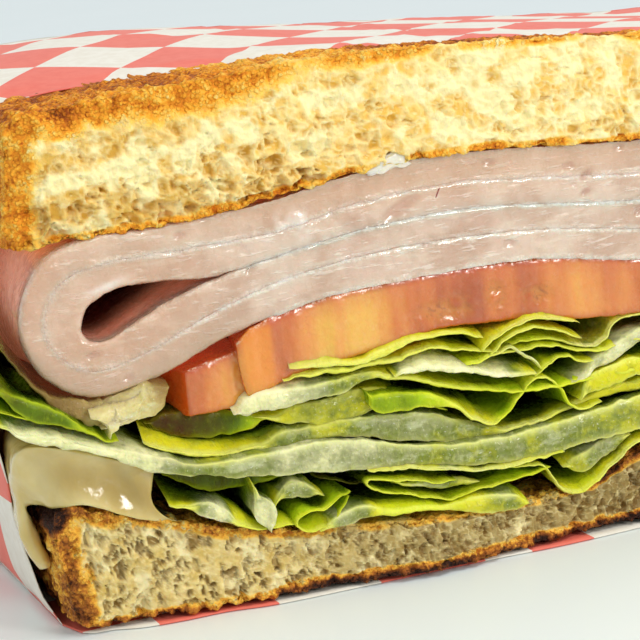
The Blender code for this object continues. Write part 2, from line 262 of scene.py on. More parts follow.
def scatter(cell, seed):
    """A fixed random number from 0 to 1 for each whole-number cell."""
    h = (cell[:, 0] * 73856093) ^ (cell[:, 1] * 19349663) ^ (cell[:, 2] * 83492791) ^ (seed * 6291469)
    h = (h ^ (h >> 13)) * 1274126177
    h = (h ^ (h >> 16)) * 668265263
    return ((h ^ (h >> 15)) & 0xFFFFF) / float(0xFFFFF)


def grain(points, size, seed, octaves=3):
    """Smooth noise from 0 to 1 at each point, with finer noise in it for each octave."""
    total, weight, whole = 0.0, 1.0, 0.0
    for octave in range(octaves):
        p = points / (size * 0.5**octave)
        base = np.floor(p)
        f = p - base
        f = f * f * (3 - 2 * f)
        base = base.astype(np.int64)
        value = 0.0
        for i in (0, 1):
            for j in (0, 1):
                for k in (0, 1):
                    share = (abs(1 - i - f[:, 0]) * abs(1 - j - f[:, 1]) * abs(1 - k - f[:, 2]))
                    value = value + share * scatter(base + (i, j, k), seed + octave)
        total = total + value * weight
        whole += weight
        weight *= 0.55
    return total / whole


def bubbles(points, size, seed):
    """For each point: distance to the nearest bubble's middle, to the next one, and that bubble's number."""
    p = points / size
    base = np.floor(p).astype(np.int64)
    near, after = np.full(len(p), 9.0), np.full(len(p), 9.0)
    owner = np.zeros(len(p))
    for i in (-1, 0, 1):
        for j in (-1, 0, 1):
            for k in (-1, 0, 1):
                cell = base + (i, j, k)
                middle = cell + np.stack([scatter(cell, seed + n) for n in range(3)], 1)
                d = np.linalg.norm(p - middle, axis=1)
                closer = d < near
                after = np.where(closer, near, np.minimum(after, d))
                owner = np.where(closer, scatter(cell, seed + 3), owner)
                near = np.where(closer, d, near)
    return near, after, owner


def cut_grid(mesh, cuts, middle=0.0):
    """Cuts the cube that stands at this x into a grid, with so many steps along x, y and z."""
    for axis in range(3):
        near = [e for e in mesh.edges if abs(e.verts[0].co.x - middle) < 1.5]
        sides = [e for e in near if abs((e.verts[0].co - e.verts[1].co)[axis]) > 1e-5]
        bmesh.ops.subdivide_edges(mesh, edges=sides, cuts=cuts[axis] - 1, use_grid_fill=True)


def points_of(data):
    flat = np.empty(len(data.vertices) * 3)
    data.vertices.foreach_get("co", flat)
    return flat.reshape(-1, 3)


def block(name, cuts, place, open_back=False):
    """A cube cut into a grid, whose points place(u, v, w) sets, each of u, v and w from 0 to 1.

    It returns the mesh, its points and their u, v and w. An open back gets one face in place of its grid.
    """
    mesh = bmesh.new()
    bmesh.ops.create_cube(mesh, size=1.0)
    cut_grid(mesh, cuts)
    if open_back:
        behind = [f for f in mesh.faces if all(v.co.y > 0.4999 for v in f.verts)]
        bmesh.ops.delete(mesh, geom=behind, context="FACES")
        rim = [e for e in mesh.edges if e.is_boundary]
        bmesh.ops.holes_fill(mesh, edges=rim, sides=0)
    data = bpy.data.meshes.new(name)
    mesh.to_mesh(data)
    mesh.free()
    u, v, w = (points_of(data) + 0.5).T
    points = np.stack(place(u, v, w), 1)
    settle(data, points)
    return data, points, u, v, w


def settle(data, points):
    """Moves a mesh's points to these places, given in millimetres."""
    flat = (points - (LENGTH / 2, DEPTH / 2, -PAPER - GAP)) * MM
    data.vertices.foreach_set("co", flat.astype(np.float32).ravel())
    data.update()


def outward(data):
    """Which way each point faces."""
    flat = np.empty(len(data.vertices) * 3, np.float32)
    data.vertex_normals.foreach_get("vector", flat)
    return flat.reshape(-1, 3).astype(float)


def keep(data, name, values):
    """Stores a value at each point, for the material to read."""
    data.attributes.new(name, "FLOAT", "POINT").data.foreach_set("value", values.astype(np.float32))


def piece(name, data, material, crease=None):
    """The finished piece at the origin, with faces turned outwards and edges sharp from this angle on."""
    mesh = bmesh.new()
    mesh.from_mesh(data)
    bmesh.ops.recalc_face_normals(mesh, faces=mesh.faces)
    if mesh.calc_volume(signed=True) < 0:
        bmesh.ops.reverse_faces(mesh, faces=mesh.faces)
    for e in mesh.edges:
        e.smooth = crease is None or e.calc_face_angle(0.0) < crease
    mesh.to_mesh(data)
    mesh.free()
    data.materials.append(material)
    data.shade_smooth()
    made = bpy.data.objects.new(name, data)
    bpy.context.scene.collection.objects.link(made)
    return made


def half_width(y):
    """Half the width of the slice at this depth, which shrinks round its back corners."""
    past = np.maximum(y - (DEPTH - CORNER), 0.0)
    return LENGTH / 2 - CORNER + np.sqrt(CORNER**2 - past**2)


def bread(name, lower, upper, front, upper_share, look, seed):
    """A half slice: its crumb's holes, its crags and how toasted each point is."""
    def place(u, v, w):
        # Fine steps where the cut face shows, wider ones towards the right end and the back crust.
        side = np.interp(u, (0, 0.03, 0.83, 1), (-1, -0.985, 0.33, 1))
        y = np.interp(v, (0, 0.26, 0.68, 0.84, 0.93, 1), (0, 3.2, 14, 42, 51, DEPTH))
        reach = half_width(np.minimum(y, DEPTH - 0.02))
        lean = (look["left"][0] * w + look["left"][1] * (1 - w)) * (1 - ease(u, 0.0, 0.3))
        x = LENGTH / 2 + side * reach + lean - LEAN * (1 - w) * ease(u, 0.6, 1.0)
        inside = np.maximum(CRUST_EDGE - np.minimum(reach * (1 - abs(side)), DEPTH - y), 0.0)
        drop = CRUST_EDGE - np.sqrt(np.maximum(CRUST_EDGE**2 - inside**2, 0.0))
        sunk = 1.6 * ease(y - level(look["cover"], x), 0.0, 10.0)
        low, high = level(lower, x) + drop * look["heel"], level(upper, x) - drop - sunk
        share = 1 + (upper_share - 1) * w
        return x, y + level(front, x) * share * (1 - v) ** 2, low + (high - low) * w

    data, points, u, v, w = block(name, BREAD_STEPS, place, open_back=True)
    normals = outward(data)
    x, y, z = points.T
    cut = ease(0.6 - v * BREAD_STEPS[1], -0.4, 0.6)  # 1 on the cut face
    to_top = level(upper, x) - z
    to_foot = z - level(lower, x)
    to_left = x - look["left"][0] * w - look["left"][1] * (1 - w)
    uneven = grain(points, 3.4, seed, 4)
    patchy = grain(points, 6.0, seed + 3, 3)
    cloudy = grain(points, 2.4, seed + 25, 3)
    speck = grain(points, 0.8, seed + 9, 3)

    def baked(distance, deep, tone):
        """How brown the crumb is at this distance from a toasted face of this tone."""
        return tone * np.exp(-(np.maximum(distance, 0) / (deep * (0.3 + 1.4 * uneven))) ** 2.2)

    top_tone = look["top_tone"] + 0.5 * (patchy - 0.5) + look["scorch"](x, y)
    left_tone = look["left_tone"] * (0.8 + look["left_fall"] * (1 - w)) + 0.8 * (patchy - 0.5)
    toast = np.maximum.reduce([
        baked(to_top, level(look["top_deep"], x), top_tone),
        baked(to_foot, look["foot_deep"], level(look["foot_tone"], x) + 1.4 * (patchy - 0.5)),
        baked(to_left, look["left_deep"], left_tone),
    ])
    burnt_x, burnt_z, burnt_reach = look["char"]
    charred = np.exp(-(((x - burnt_x) ** 2 + (z - burnt_z) ** 2) / burnt_reach ** 2) ** 2)
    toast = np.maximum(toast, charred * 1.25)
    crumb = 1 - ease(toast, 0.12, 0.45)
    # Holes of three sizes in the crumb, wisps between them, and neither in the toasted skin
    warped = points + 1.2 * (np.stack([grain(points, 1.6, seed + n, 2) for n in (20, 30, 40)], 1) - 0.5)
    porous = look["porous"](x, w)
    depth, wall = np.zeros(len(x)), np.zeros(len(x))
    for size, deep, share, key in look["pores"]:
        near, after, owner = bubbles(warped * look["drawn"], size, seed + key)
        chosen = owner < share * porous
        hole = ease(after - near, 0.06, 0.24) * chosen * (0.45 + owner / share * 0.55)
        depth += hole * deep
        wall = np.maximum(wall, (1 - ease(after - near, 0.0, 0.14)) * chosen)
    wisp = np.maximum.reduce([1 - abs(grain(warped, size, seed + key, 2) - 0.5) / 0.09
                              for size, key in ((1.3, 61), (2.1, 67))])
    wisp = np.clip(wisp, 0, 1) * look["wisps"]
    fine, _, _ = bubbles(points, 0.62, seed + 13)
    coarse, _, _ = bubbles(points + speck[:, None] * 1.2, 1.5, seed + 17)
    broad, _, _ = bubbles(points + uneven[:, None] * 2.0, 2.6, seed + 19)
    crags = (0.5 - coarse) * 1.0 + (0.45 - fine) * 0.4 + (0.5 - broad) * 0.8
    soft = (uneven - 0.5) * 0.9 + (speck - 0.5) * 0.5 + (fine - 0.4) * 0.18 + wisp * 0.3
    rim = np.exp(-(np.minimum(to_top, to_foot) / 1.3) ** 2) * look["rim_crags"]
    covered = ease(y - level(look["cover"], x), -1.0, 1.5) * (w > 0.999)
    crusty = np.clip(ease(toast, 0.1, 0.3) * 0.7 + rim * 0.5, 0, 1) * (1 - 0.8 * covered)
    inwards = depth * (0.2 + 0.8 * crumb) * cut
    moved = points + normals * (soft * (1 - crusty) + crags * crusty * look["crag_size"] - inwards)[:, None]
    settle(data, moved)
    # For the finish: hole darkens the pores with painted shade, wall and pale lighten the crumb's walls and
    # patches, partly with painted highlight, and dim is a painted shadow.
    keep(data, "toast", np.clip(toast, 0, 1))
    keep(data, "hole", np.clip(depth / 0.9, 0, 1) * (1 - 0.6 * wisp) * crumb * cut)
    # low is high in the crevices between the crags, where the finish paints shade.
    keep(data, "low", np.clip(0.5 - crags * 0.55, 0, 1))
    keep(data, "wall", np.maximum(wall, wisp) * crumb * cut)
    keep(data, "dim", look["dim"](x, w) * crumb * (0.6 + 0.8 * patchy))
    keep(data, "foamy", look["foamy"](x) * cut)
    keep(data, "pale", ease(look["pale"](x, w) + 2.4 * (cloudy - 0.5), 0.3, 0.8) * crumb)
    return data


def bread_finish(name, crumb, gold, pale, pore_shade, dim, crusts, crag_shading, blotch):
    """Toasted bread: its crumb in two tones, a pale tone for its thin walls and patches, partly their own
    colour and partly painted highlight, the painted shade in its pores and a painted shadow, then five
    tones of crust from light to burnt, how strongly the crags show in it as painted shade in their
    crevices and painted highlight on their tops, and how blotchy it is."""
    material, shader, spot = start(name)
    toast = stored(spot, "toast")
    hole = stored(spot, "hole")
    low = stored(spot, "low")
    fine = noise(spot, 0.38, 4.0, 0.65)
    flecks = noise(spot, 0.55, 2.0, 0.5).between(0.56, 0.68)
    patch = noise(spot, 2.6, 3.0, 0.5)
    skin = toast.between(0.08, 0.3)
    crevice = cellular(spot, 0.5).between(0.32, 0.62)
    # Painted shade in the crust's crevices, where low is high and where the bump sinks, and painted
    # highlight on the crag tops, among random patches, grain and flecks.
    marks = (low - 0.4) * crag_shading + (patch - 0.5) * blotch + (fine - 0.5) * 0.5
    marks = marks + flecks * 0.16 + (crevice - 0.3) * 0.1
    browned = (toast * 0.8 + skin * marks).held()
    soft = patch.between(0.38, 0.66).blend(gold, crumb)
    # Painted shadow where dim is stored, then painted shade in the pores and in the foam's open cells.
    soft = stored(spot, "dim").blend(soft, dim)
    soft = (hole.between(0.1, 0.6) * 0.8).blend(soft, pore_shade)
    cell = cellular(warped(spot, 1.2, 1.6), 0.95)
    open_foam = noise(spot, 2.2, 2.0).between(0.38, 0.56) * stored(spot, "foamy")
    soft = ((1 - cell.between(0.22, 0.42)) * open_foam * 0.6).blend(soft, pore_shade)
    # Pale crumb walls and patches, partly their own colour and partly painted highlight.
    films_and_highlight = stored(spot, "pale") * 0.9 + stored(spot, "wall") * (0.6 - stored(spot, "dim") * 0.35)
    soft = (films_and_highlight + (fine - 0.5) * 0.14).held().blend(soft, pale)
    film_highlight = cell.between(0.54, 0.74) * (1 - skin)
    soft = (film_highlight * open_foam * 0.6).blend(soft, pale)
    baked = browned.ramp((0.0, pale), *zip((0.14, 0.32, 0.5, 0.7, 0.95), crusts))
    colour = browned.between(0.05, 0.2).blend(soft, baked)
    join(colour, shader, "Base Color")
    height = fine * (skin * 0.35 + 0.4) + cellular(spot, 0.3) * (skin * 0.25 + 0.2) - crevice * skin * 0.9
    join(relief(spot, height, 0.24), shader, "Normal")
    steady(shader, {"Roughness": 0.7, "Subsurface Weight": 0.25, "Subsurface Radius": (1.0, 0.6, 0.25),
                    "Subsurface Scale": 0.0008, "Specular IOR Level": 0.2})
    return material


BOTTOM = ((0, 0.0), (LENGTH, 0.0))
# How each slice is baked and toasted. left is how far the left crust stands in at the top and the foot,
# and heel how much of the crust's rounding the foot has. From cover on, the paper lies on the slice. A tone
# is how brown a face is, a deep is how far in the brown goes, left_fall adds to it towards the foot, and
# scorch(x, y) adds to the top. char is the x, z and radius of a burnt spot. Each of the pores has a size, a
# depth, a share and a key, and drawn squeezes them along x, y and z. foamy, porous, pale and dim are where
# along x, and at which height w of the slice, the crumb is foamy, full of holes, pale with partly painted
# highlight, and darkened with a painted shadow.
LOWER_LOOK = {
    "left": (-1.8, -0.2),
    "heel": 0.6,
    "cover": ((0, 200.0), (LENGTH, 200.0)),
    "top_tone": 0.33,
    "top_deep": ((0, 1.8), (10, 1.4), (20, 1.1), (30, 0.9), (50, 0.7), (60, 0.6), (68, 0.7), (108, 1.2)),
    "scorch": lambda x, y: 0.3 * ease(x, 52, 64) - 0.06 * ease(x, 14, 30) * ease(-x, -60, -50),
    "foot_tone": ((0, 0.36), (12, 0.42), (24, 0.85), (108, 1.1)),
    "foot_deep": 0.85,
    "left_tone": 0.4,
    "left_fall": 0.6,
    "left_deep": 2.6,
    "char": (-2.2, 13.2, 2.3),
    "pores": ((1.9, 0.85, 0.24, 1), (1.2, 0.65, 0.55, 5), (0.75, 0.45, 0.45, 9)),
    "drawn": (1.4, 1.0, 0.75),
    "wisps": 0.4,
    "foamy": lambda x: 0.35 + 0.45 * ease(x, 16, 34),
    "porous": lambda x, w: 0.95 + 0 * x,
    "pale": lambda x, w: 0.24 - 0.24 * ease(x, 20, 42),
    "dim": lambda x, w: 0.95 * ease(x, 18, 40),
    "rim_crags": 0.4,
    "crag_size": 1.1,
}
UPPER_LOOK = {
    "left": (-1.6, -2.6),
    "heel": 0.3,
    "cover": ((0, 17), (20, 14), (40, 7.5), (60, 4.5), (LENGTH, 4)),
    "top_tone": 0.33,
    "top_deep": ((0, 3.0), (12, 3.2), (26, 2.6), (40, 1.4), (52, 0.9), (68, 0.8), (108, 1.5)),
    # The last term darkens the top from about 2 mm behind the cut on, right of x = 30.
    "scorch": lambda x, y: ((0.06 + 0.18 * ease(y, 1.5, 5.0)) * (1 - ease(x, 12, 30))
                            - 0.12 * ease(x, 24, 44) + 0.4 * ease(y, 1.2, 3.0) * ease(x, 30, 44)),
    "foot_tone": ((0, 0.34), (40, 0.3), (108, 0.3)),
    "foot_deep": 0.8,
    "left_tone": 0.27,
    "left_fall": 1.0,
    "left_deep": 2.6,
    "char": (-90.0, 0.0, 1.0),
    "pores": ((2.6, 0.9, 0.2, 1), (1.5, 0.65, 0.5, 5), (0.8, 0.3, 0.3, 9)),
    "drawn": (1.0, 1.0, 1.1),
    "wisps": 1.0,
    "foamy": lambda x: 0.7 + 0 * x,
    "porous": lambda x, w: (0.2 + 1.5 * (1 - w) ** 1.4) * (1 - 0.5 * ease(x, 26, 44)),
    "pale": lambda x, w: (0.36 + 0.14 * ease(x, 18, 45)
                          + 0.6 * np.exp(-((w - 0.4 - x / 120) / 0.07) ** 2) * (x < 24)),
    "dim": lambda x, w: (0.7 * ease(0.4 - w, 0.0, 0.3) * (1 - ease(x, 20, 40))
                         + 0.6 * (1 - ease(x, 10, 24))),
    "rim_crags": 0.8,
    "crag_size": 0.75,
}
white_crumb = bread_finish(
    "lower_toast", (0.78, 0.59, 0.22), (0.66, 0.46, 0.125), (0.90, 0.76, 0.40), (0.23, 0.12, 0.024),
    (0.27, 0.18, 0.05),
    ((0.98, 0.59, 0.10), (0.88, 0.42, 0.045), (0.52, 0.18, 0.022), (0.22, 0.06, 0.010),
     (0.035, 0.011, 0.006)),
    0.85, 0.9)
golden_crumb = bread_finish(
    "upper_toast", (0.90, 0.62, 0.19), (0.86, 0.50, 0.085), (0.98, 0.83, 0.43), (0.66, 0.35, 0.04),
    (0.72, 0.44, 0.09),
    ((1.0, 0.64, 0.13), (1.0, 0.42, 0.03), (0.74, 0.23, 0.012), (0.36, 0.075, 0.006), (0.05, 0.013, 0.005)),
    0.6, 0.3)
lower_mesh = bread("lower_bread", BOTTOM, BASE_UPPER, BASE_FRONT, UPPER_SHARE, LOWER_LOOK, 11)
lower_bread = piece("lower_bread", lower_mesh, white_crumb)
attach(lower_bread, "root")
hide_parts("bread_bottom")
upper_mesh = bread("upper_bread", TOP_LOWER, TOP_UPPER, TOP_FRONT, 1.0, UPPER_LOOK, 47)
upper_bread = piece("upper_bread", upper_mesh, golden_crumb)
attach(upper_bread, "root")
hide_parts("bread_top")

# Turkey
# Two moist slices of cooked turkey breast, laid on each other and folded once over a hollow. Their
# cut edges are smooth with a few tears, and the lower layers stand a little proud of the upper.
FILLING_BACK = 50.0
TURKEY_STEPS = (640, 26, 16)
# Curves along the cut, as x and z, from the right end of the top layer round the fold to the bottom one
OUTER_BOUND = (
    (104, 41.4), (70, 42.8), (50, 44.4), (38, 44.3), (24, 42.4), (12, 42.0), (5, 42.0), (0.6, 40.6),
    (-2.2, 37.0), (-2.9, 32.8), (-1.5, 29.0), (1.6, 26.3), (5.2, 25.4), (11, 26.6), (20, 29.9),
    (30, 32.0), (43, 32.5), (56, 32.2), (70, 29.9), (104, 27.0),
)
BETWEEN = (
    (104, 38.2), (70, 39.5), (50, 41.6), (38, 41.5), (25, 39.6), (14, 39.4), (6, 39.3), (2.4, 38.3),
    (0.0, 35.8), (-0.4, 32.6), (0.8, 30.4), (2.6, 28.9), (5.2, 28.2), (10, 29.3), (20, 32.9),
    (30, 35.0), (43, 35.7), (56, 35.1), (70, 33.1), (104, 30.2),
)
HOLLOW_BOUND = (
    (104, 34.37), (70, 36.28), (50, 38.48), (38, 38.38), (28, 37.28), (18.5, 35.95), (12, 36.4), (7.6, 36.4),
    (4.6, 35.1), (3.5, 32.9), (4.1, 31.6), (5.4, 31.2), (7.2, 31.6), (10, 32.9), (14.5, 34.6), (18.6, 35.75),
    (28, 37.22), (38, 38.32), (50, 38.42), (70, 36.22), (104, 34.31),
)
UNDER_FOLD = ((-3, 31.0), (1.6, 26.3), (5.2, 25.4), (11, 26.6), (20, 29.9), (30, 32.0))
# Small tears in the cut: x, z, half width and half height
TURKEY_TEARS = ((40.4, 40.0, 2.3, 0.8), (63.2, 40.2, 0.8, 0.5), (62.9, 38.3, 0.6, 0.4),
                (69.2, 35.3, 0.5, 0.6))


def settled(x, y, z):
    """The way the soft filling settled: its layers wander together, so they never cross."""
    in_stack = ease(z, 16.0, 28.0) * (1 - ease(z, 38.0, 42.0))
    in_leaves = ease(z, 8.0, 15.0) * (1 - ease(z, 19.0, 25.0))
    x = x + 1.1 * in_stack * np.sin(y / 8.0)
    x = x - 0.55 * np.minimum(x, 0.0) * ease(y, 7.0, 20.0)
    return x, y, z + 0.9 * in_leaves * np.sin(x / 6.5 + y / 9.0) * np.sin(y / 6.0)


def run_of(knots):
    """How far along the line through them each knot comes."""
    steps = np.diff(np.asarray(knots, float), axis=0)
    return np.concatenate([[0.0], np.cumsum(np.hypot(*steps.T))])


def along(knots, t):
    """Place on the smooth curve through the knots at each t, and the unit vector to its left."""
    run = run_of(knots)
    xs, zs = [k[0] for k in knots], [k[1] for k in knots]

    def spot(share):
        s = np.clip(share, 0, 1) * run[-1]
        return curve(run, xs, s), curve(run, zs, s)

    x, z = spot(t)
    ahead, behind = spot(t + 0.003), spot(t - 0.003)
    dx, dz = ahead[0] - behind[0], ahead[1] - behind[1]
    size = np.hypot(dx, dz)
    return x, z, -dz / size, dx / size


def round_fold(u):
    """The share of the slice's run at u, with finer steps at the fold."""
    return 0.5 + (u - 0.5) * (0.72 + 0.28 * (2 * u - 1) ** 2)


def turkey_slice(name, outer, inner, fronts, tucks, proud, lips, seed):
    """A folded slice between two folded curves, from fronts at the top layer to the bottom one.

    tucks(t) is how far its two sides run behind their neighbours, and proud(t, w) is 1 along the upper
    edges that stand in front of the layer above. lips are how far its inner and outer sides round back
    at the fold.
    """
    def place(u, v, w):
        t = round_fold(u)
        ax, az, anx, anz = along(inner, t)
        bx, bz, bnx, bnz = along(outer, t)
        below, beyond = tucks(t)
        x = (ax + anx * below) * (1 - w) + (bx - bnx * beyond) * w
        z = (az + anz * below) * (1 - w) + (bz - bnz * beyond) * w
        y = np.interp(v, (0, 0.3, 0.6, 1), (0, 2.4, 10, FILLING_BACK))
        front = fronts[0] + (fronts[1] - fronts[0]) * ease(t, 0.3, 0.7)
        lip = np.where(w < 0.5, lips[0], lips[1]) * (1 - ease(abs(t - 0.51), 0.09, 0.15))
        rounded = 0.15 * abs(2 * w - 1) ** 9 * proud(t, w) + lip * abs(2 * w - 1) ** 6
        x, y, z = settled(x, y + (front + rounded) * (1 - v) ** 3, z)
        return x, y, z

    data, points, u, v, w = block(name, TURKEY_STEPS, place, open_back=True)
    normals = outward(data)
    t = round_fold(u)
    x, y, z = points.T
    cut = ease(0.5 - v * TURKEY_STEPS[1], -0.5, 0.5)
    fibres = 0.5 + (grain(points * (0.25, 1.0, 1.0), 0.9, seed, 4) - 0.5) * (0.3 + 0.7 * cut)
    lumps = grain(points, 2.6, seed + 5, 3)
    pits, _, owner = bubbles(points * (0.6, 1.0, 1.0), 1.5, seed + 8)
    torn = ease(0.42 - pits, 0.0, 0.25) * (owner > 0.93) * 0.6
    rough_area = np.exp(-((x - 29.5) / 5.0) ** 2 - ((z - 39.9) / 1.5) ** 2) * cut
    pocket = np.zeros(len(x))
    for middle_x, middle_z, wide, tall in TURKEY_TEARS:
        slope = (z - middle_z) - 0.35 * (x - middle_x)
        pocket = np.maximum(pocket, np.exp(-(((x - middle_x) / wide) ** 2 + (slope / tall) ** 2) ** 2))
    # The layers share their wavy cut line, so that no gap opens between them.
    edge = abs(2 * w - 1) > 0.8
    ragged = (grain(points * (1.0, 0.0, 1.0), 1.0, 70, 3) - 0.5) * edge * cut
    move = (fibres - 0.5) * 0.2 + (lumps - 0.5) * (0.36 + 1.3 * rough_area)
    move = move - torn * 0.4 * cut - pocket * 0.3 * cut
    push = normals * (move * ease(y, 0.3, 3.0))[:, None]
    on_cut = v < 0.001
    push[on_cut] = 0
    push[on_cut, 1] = -move[on_cut]
    push[:, 2] += ragged * 0.3
    settle(data, points + push)
    # inside is every face behind the cut. The finish gives it a pinker tone, partly the meat's own outer
    # colour and partly painted light in place of light coming through the meat.
    keep(data, "inside", ease(y, 0.6, 4.5))
    # hollow grows deeper into the hollow under the fold, where the finish paints shade.
    keep(data, "hollow", ease(y - 5.0 * (t - 0.5) / 0.06, 1.0, 9.0) * (w < 0.02) * (lips[0] > 0))
    keep(data, "edge", ease(abs(2 * w - 1), 0.6, 0.95) * cut)
    # A painted highlight: a wet gleam along the hollow's upper lip and on the lumps of the rough patch.
    wet = np.exp(-((x - 6.6) / 2.0) ** 2 - ((z - 36.9 - 0.25 * (x - 6.6)) / 0.35) ** 2)
    keep(data, "wet", np.clip(wet + 0.8 * rough_area * ease(lumps, 0.5, 0.65), 0, 1) * cut)
    # rim is 1 along the proud upper edges, which the finish lightens with a painted highlight in beads.
    keep(data, "rim", proud(t, w) * cut)
    # torn is in the tears and pits, which the finish darkens with painted shade.
    keep(data, "torn", np.clip(torn + pocket, 0, 1) * cut)
    keep(data, "warm", np.maximum(ease(z, 38.0, 43.5), 0.6 - 0.6 * ease(x, 8, 26)) * cut)
    # low is along the lower edge of the fold at the left, which the finish darkens with painted shade.
    keep(data, "low", (1 - ease(z - level(UNDER_FOLD, x), 0.2, 3.0)) * (1 - ease(x, 17, 24)) * cut)
    return data


turkey_finish, shader, spot = start("moist_turkey")
blotch = noise(spot, 5.0, 3.0, 0.5)
pink = noise(spot, 8.0, 2.0, 0.5)
strand = noise(spot, 0.9, 4.0, 0.6, stretch=(0.22, 1.0, 1.0))
meat = blotch.between(0.35, 0.65).blend((0.54, 0.345, 0.24), (0.69, 0.50, 0.38))
meat = (pink.between(0.5, 0.68) * 0.5).blend(meat, (0.58, 0.355, 0.26))
meat = (strand.between(0.5, 0.72) * 0.45).blend(meat, (0.77, 0.61, 0.47))
# Slanted streaks of painted highlight, which also roughen the bump.
slanted = spot.node("ShaderNodeMapping", {},
                    {"Vector": spot, "Rotation": (0.0, 0.7, 0.0), "Scale": (0.3, 1.0, 1.5)})
gleam = noise(slanted, 0.8, 3.0, 0.6).between(0.56, 0.7)
meat = (gleam * 0.45).blend(meat, (0.92, 0.81, 0.70))
# Painted highlight in patches beside the cut edges of each layer.
edge_highlight = stored(spot, "edge") * noise(spot, 1.8, 3.0).between(0.4, 0.6) * 0.4
meat = edge_highlight.blend(meat, (0.89, 0.76, 0.64))
meat = (stored(spot, "warm") * 0.6).blend(meat, (0.64, 0.38, 0.225))
# Painted shade along the fold's lower edge.
meat = (stored(spot, "low") * 0.7).blend(meat, (0.42, 0.29, 0.185))
# The pinker faces behind the cut: the meat's outer colour, partly painted light.
meat = (stored(spot, "inside") * 0.9).blend(meat, (1.0, 0.52, 0.39))
# Painted shade deep in the hollow under the fold.
meat = (stored(spot, "hollow") * 0.93).blend(meat, (0.24, 0.047, 0.015))
# A painted highlight in beads along the proud upper edges.
beads = noise(spot, 0.5, 2.0).between(0.38, 0.6)
meat = (stored(spot, "rim") * (beads * 0.4 + 0.1)).held().blend(meat, (0.91, 0.80, 0.68))
# Painted shade in the tears and pits.
meat = (stored(spot, "torn") * 0.6).blend(meat, (0.56, 0.29, 0.19))
# A fine red vessel, 1 mm long, which leans to the right
across = spot.node("ShaderNodeSeparateXYZ", {}, {"Vector": spot}, out=0) + 9.1
up = spot.node("ShaderNodeSeparateXYZ", {}, {"Vector": spot}, out=2) - 41.75
vessel = 1 - (across - up * 0.5).math("ABSOLUTE").between(0.04, 0.15)
vessel = vessel * (1 - up.math("ABSOLUTE").between(0.4, 0.6))
meat = vessel.held().blend(meat, (0.22, 0.02, 0.01))
# The painted highlight where wet is stored.
meat = (stored(spot, "wet") * 0.6).blend(meat, (0.94, 0.86, 0.80))
join(meat, shader, "Base Color")
on_cut = 1 - stored(spot, "inside")
frayed = noise(spot, 0.35, 2.0) * (stored(spot, "edge") + 0.12)
shallow = (strand * 0.6 + gleam * 0.35 + frayed) * on_cut + noise(spot, 1.6, 2.0) * 0.9
join(relief(spot, shallow, 0.16), shader, "Normal")
# A painted glow on the faces behind the cut, away from the hollow, emitted in place of light that
# comes through the moist meat from its other side. The glow lights nothing else.
glow = (stored(spot, "inside") * (1 - stored(spot, "hollow"))).blend((0.0, 0.0, 0.0), (0.17, 0.056, 0.027))
join(glow, shader, "Emission Color")
turkey_finish.cycles.emission_sampling = "NONE"
join(noise(spot, 1.2, 3.0).between(0.3, 0.75) * 0.26 + 0.14, shader, "Roughness")
steady(shader, {"Emission Strength": 1.0, "Subsurface Weight": 0.5, "Subsurface Radius": (1.0, 0.42, 0.26),
                "Subsurface Scale": 0.0034, "Coat Weight": 0.55, "Coat Roughness": 0.07})


def outer_tucks(t):
    return 0.08 + 0 * t, 0.35 * ease(0.46 - t, 0.0, 0.03) + 0.3 * ease(t - 0.56, 0.0, 0.03)


def outer_proud(t, w):
    return ease(0.16 - w, 0.0, 0.12) * ease(t, 0.5, 0.6)


outer_mesh = turkey_slice("outer_turkey", OUTER_BOUND, BETWEEN, (0.3, -0.5), outer_tucks, outer_proud,
                          (0.0, 1.1), 61)
outer_turkey = piece("outer_turkey", outer_mesh, turkey_finish, crease=0.8)
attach(outer_turkey, "root")
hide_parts("turkey_outer")


def inner_tucks(t):
    return 0.2 * ease(abs(t - 0.5), 0.08, 0.11), 0 * t


def inner_proud(t, w):
    return np.where(t < 0.5, ease(w - 0.84, 0.0, 0.12) * (1 - 0.7 * ease(t, 0.36, 0.46)),
                    ease(0.16 - w, 0.0, 0.12) * ease(t, 0.62, 0.7))


inner_mesh = turkey_slice("inner_turkey", BETWEEN, HOLLOW_BOUND, (0.12, -0.2), inner_tucks, inner_proud,
                          (0.5, 0.0), 83)
inner_turkey = piece("inner_turkey", inner_mesh, turkey_finish, crease=0.8)
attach(inner_turkey, "root")
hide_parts("turkey_inner")

# Tomato
# A ripe slice cut across its seed chambers, then cut again with the sandwich, and the ends of a
# second slice beside it. The wet flesh lets light through and has a thin skin along its rim.
TOMATO_RADIUS = 33.0
TOMATO_MIDDLE = (53.5, 1.0)
TOMATO_LOWER = ((20, 22.0), (27, 24.2), (36, 25.0), (43.6, 26.0), (53, 25.5), (63, 24.0), (87, 22.6))
TOMATO_UPPER = ((20, 28.6), (22, 30.0), (28, 31.5), (36, 32.25), (48, 32.4), (60, 31.6), (70, 29.8),
                (87, 28.0))
TOMATO_SKIN = 1.6
END_BACK = 34.0
END_FACE = 5.0
# How red the cut flesh is along x, and the chambers of gel in it: x, z, half width and half height
TOMATO_RED = ((10, 0.8), (15, 0.75), (17, 0.4), (21, 0.25), (24, 0.5), (28, 0.4), (31, 0.0), (35, 0.1),
              (39, 0.55), (43, 0.85), (47, 0.85), (50, 0.6), (52, 0.7), (55, 0.8), (58, 0.35), (64, 0.45),
              (70, 0.55), (104, 0.5))
TOMATO_GEL = ((44.6, 28.0, 3.6, 1.3), (50.6, 28.6, 1.3, 1.6), (55.5, 28.0, 1.8, 1.0))


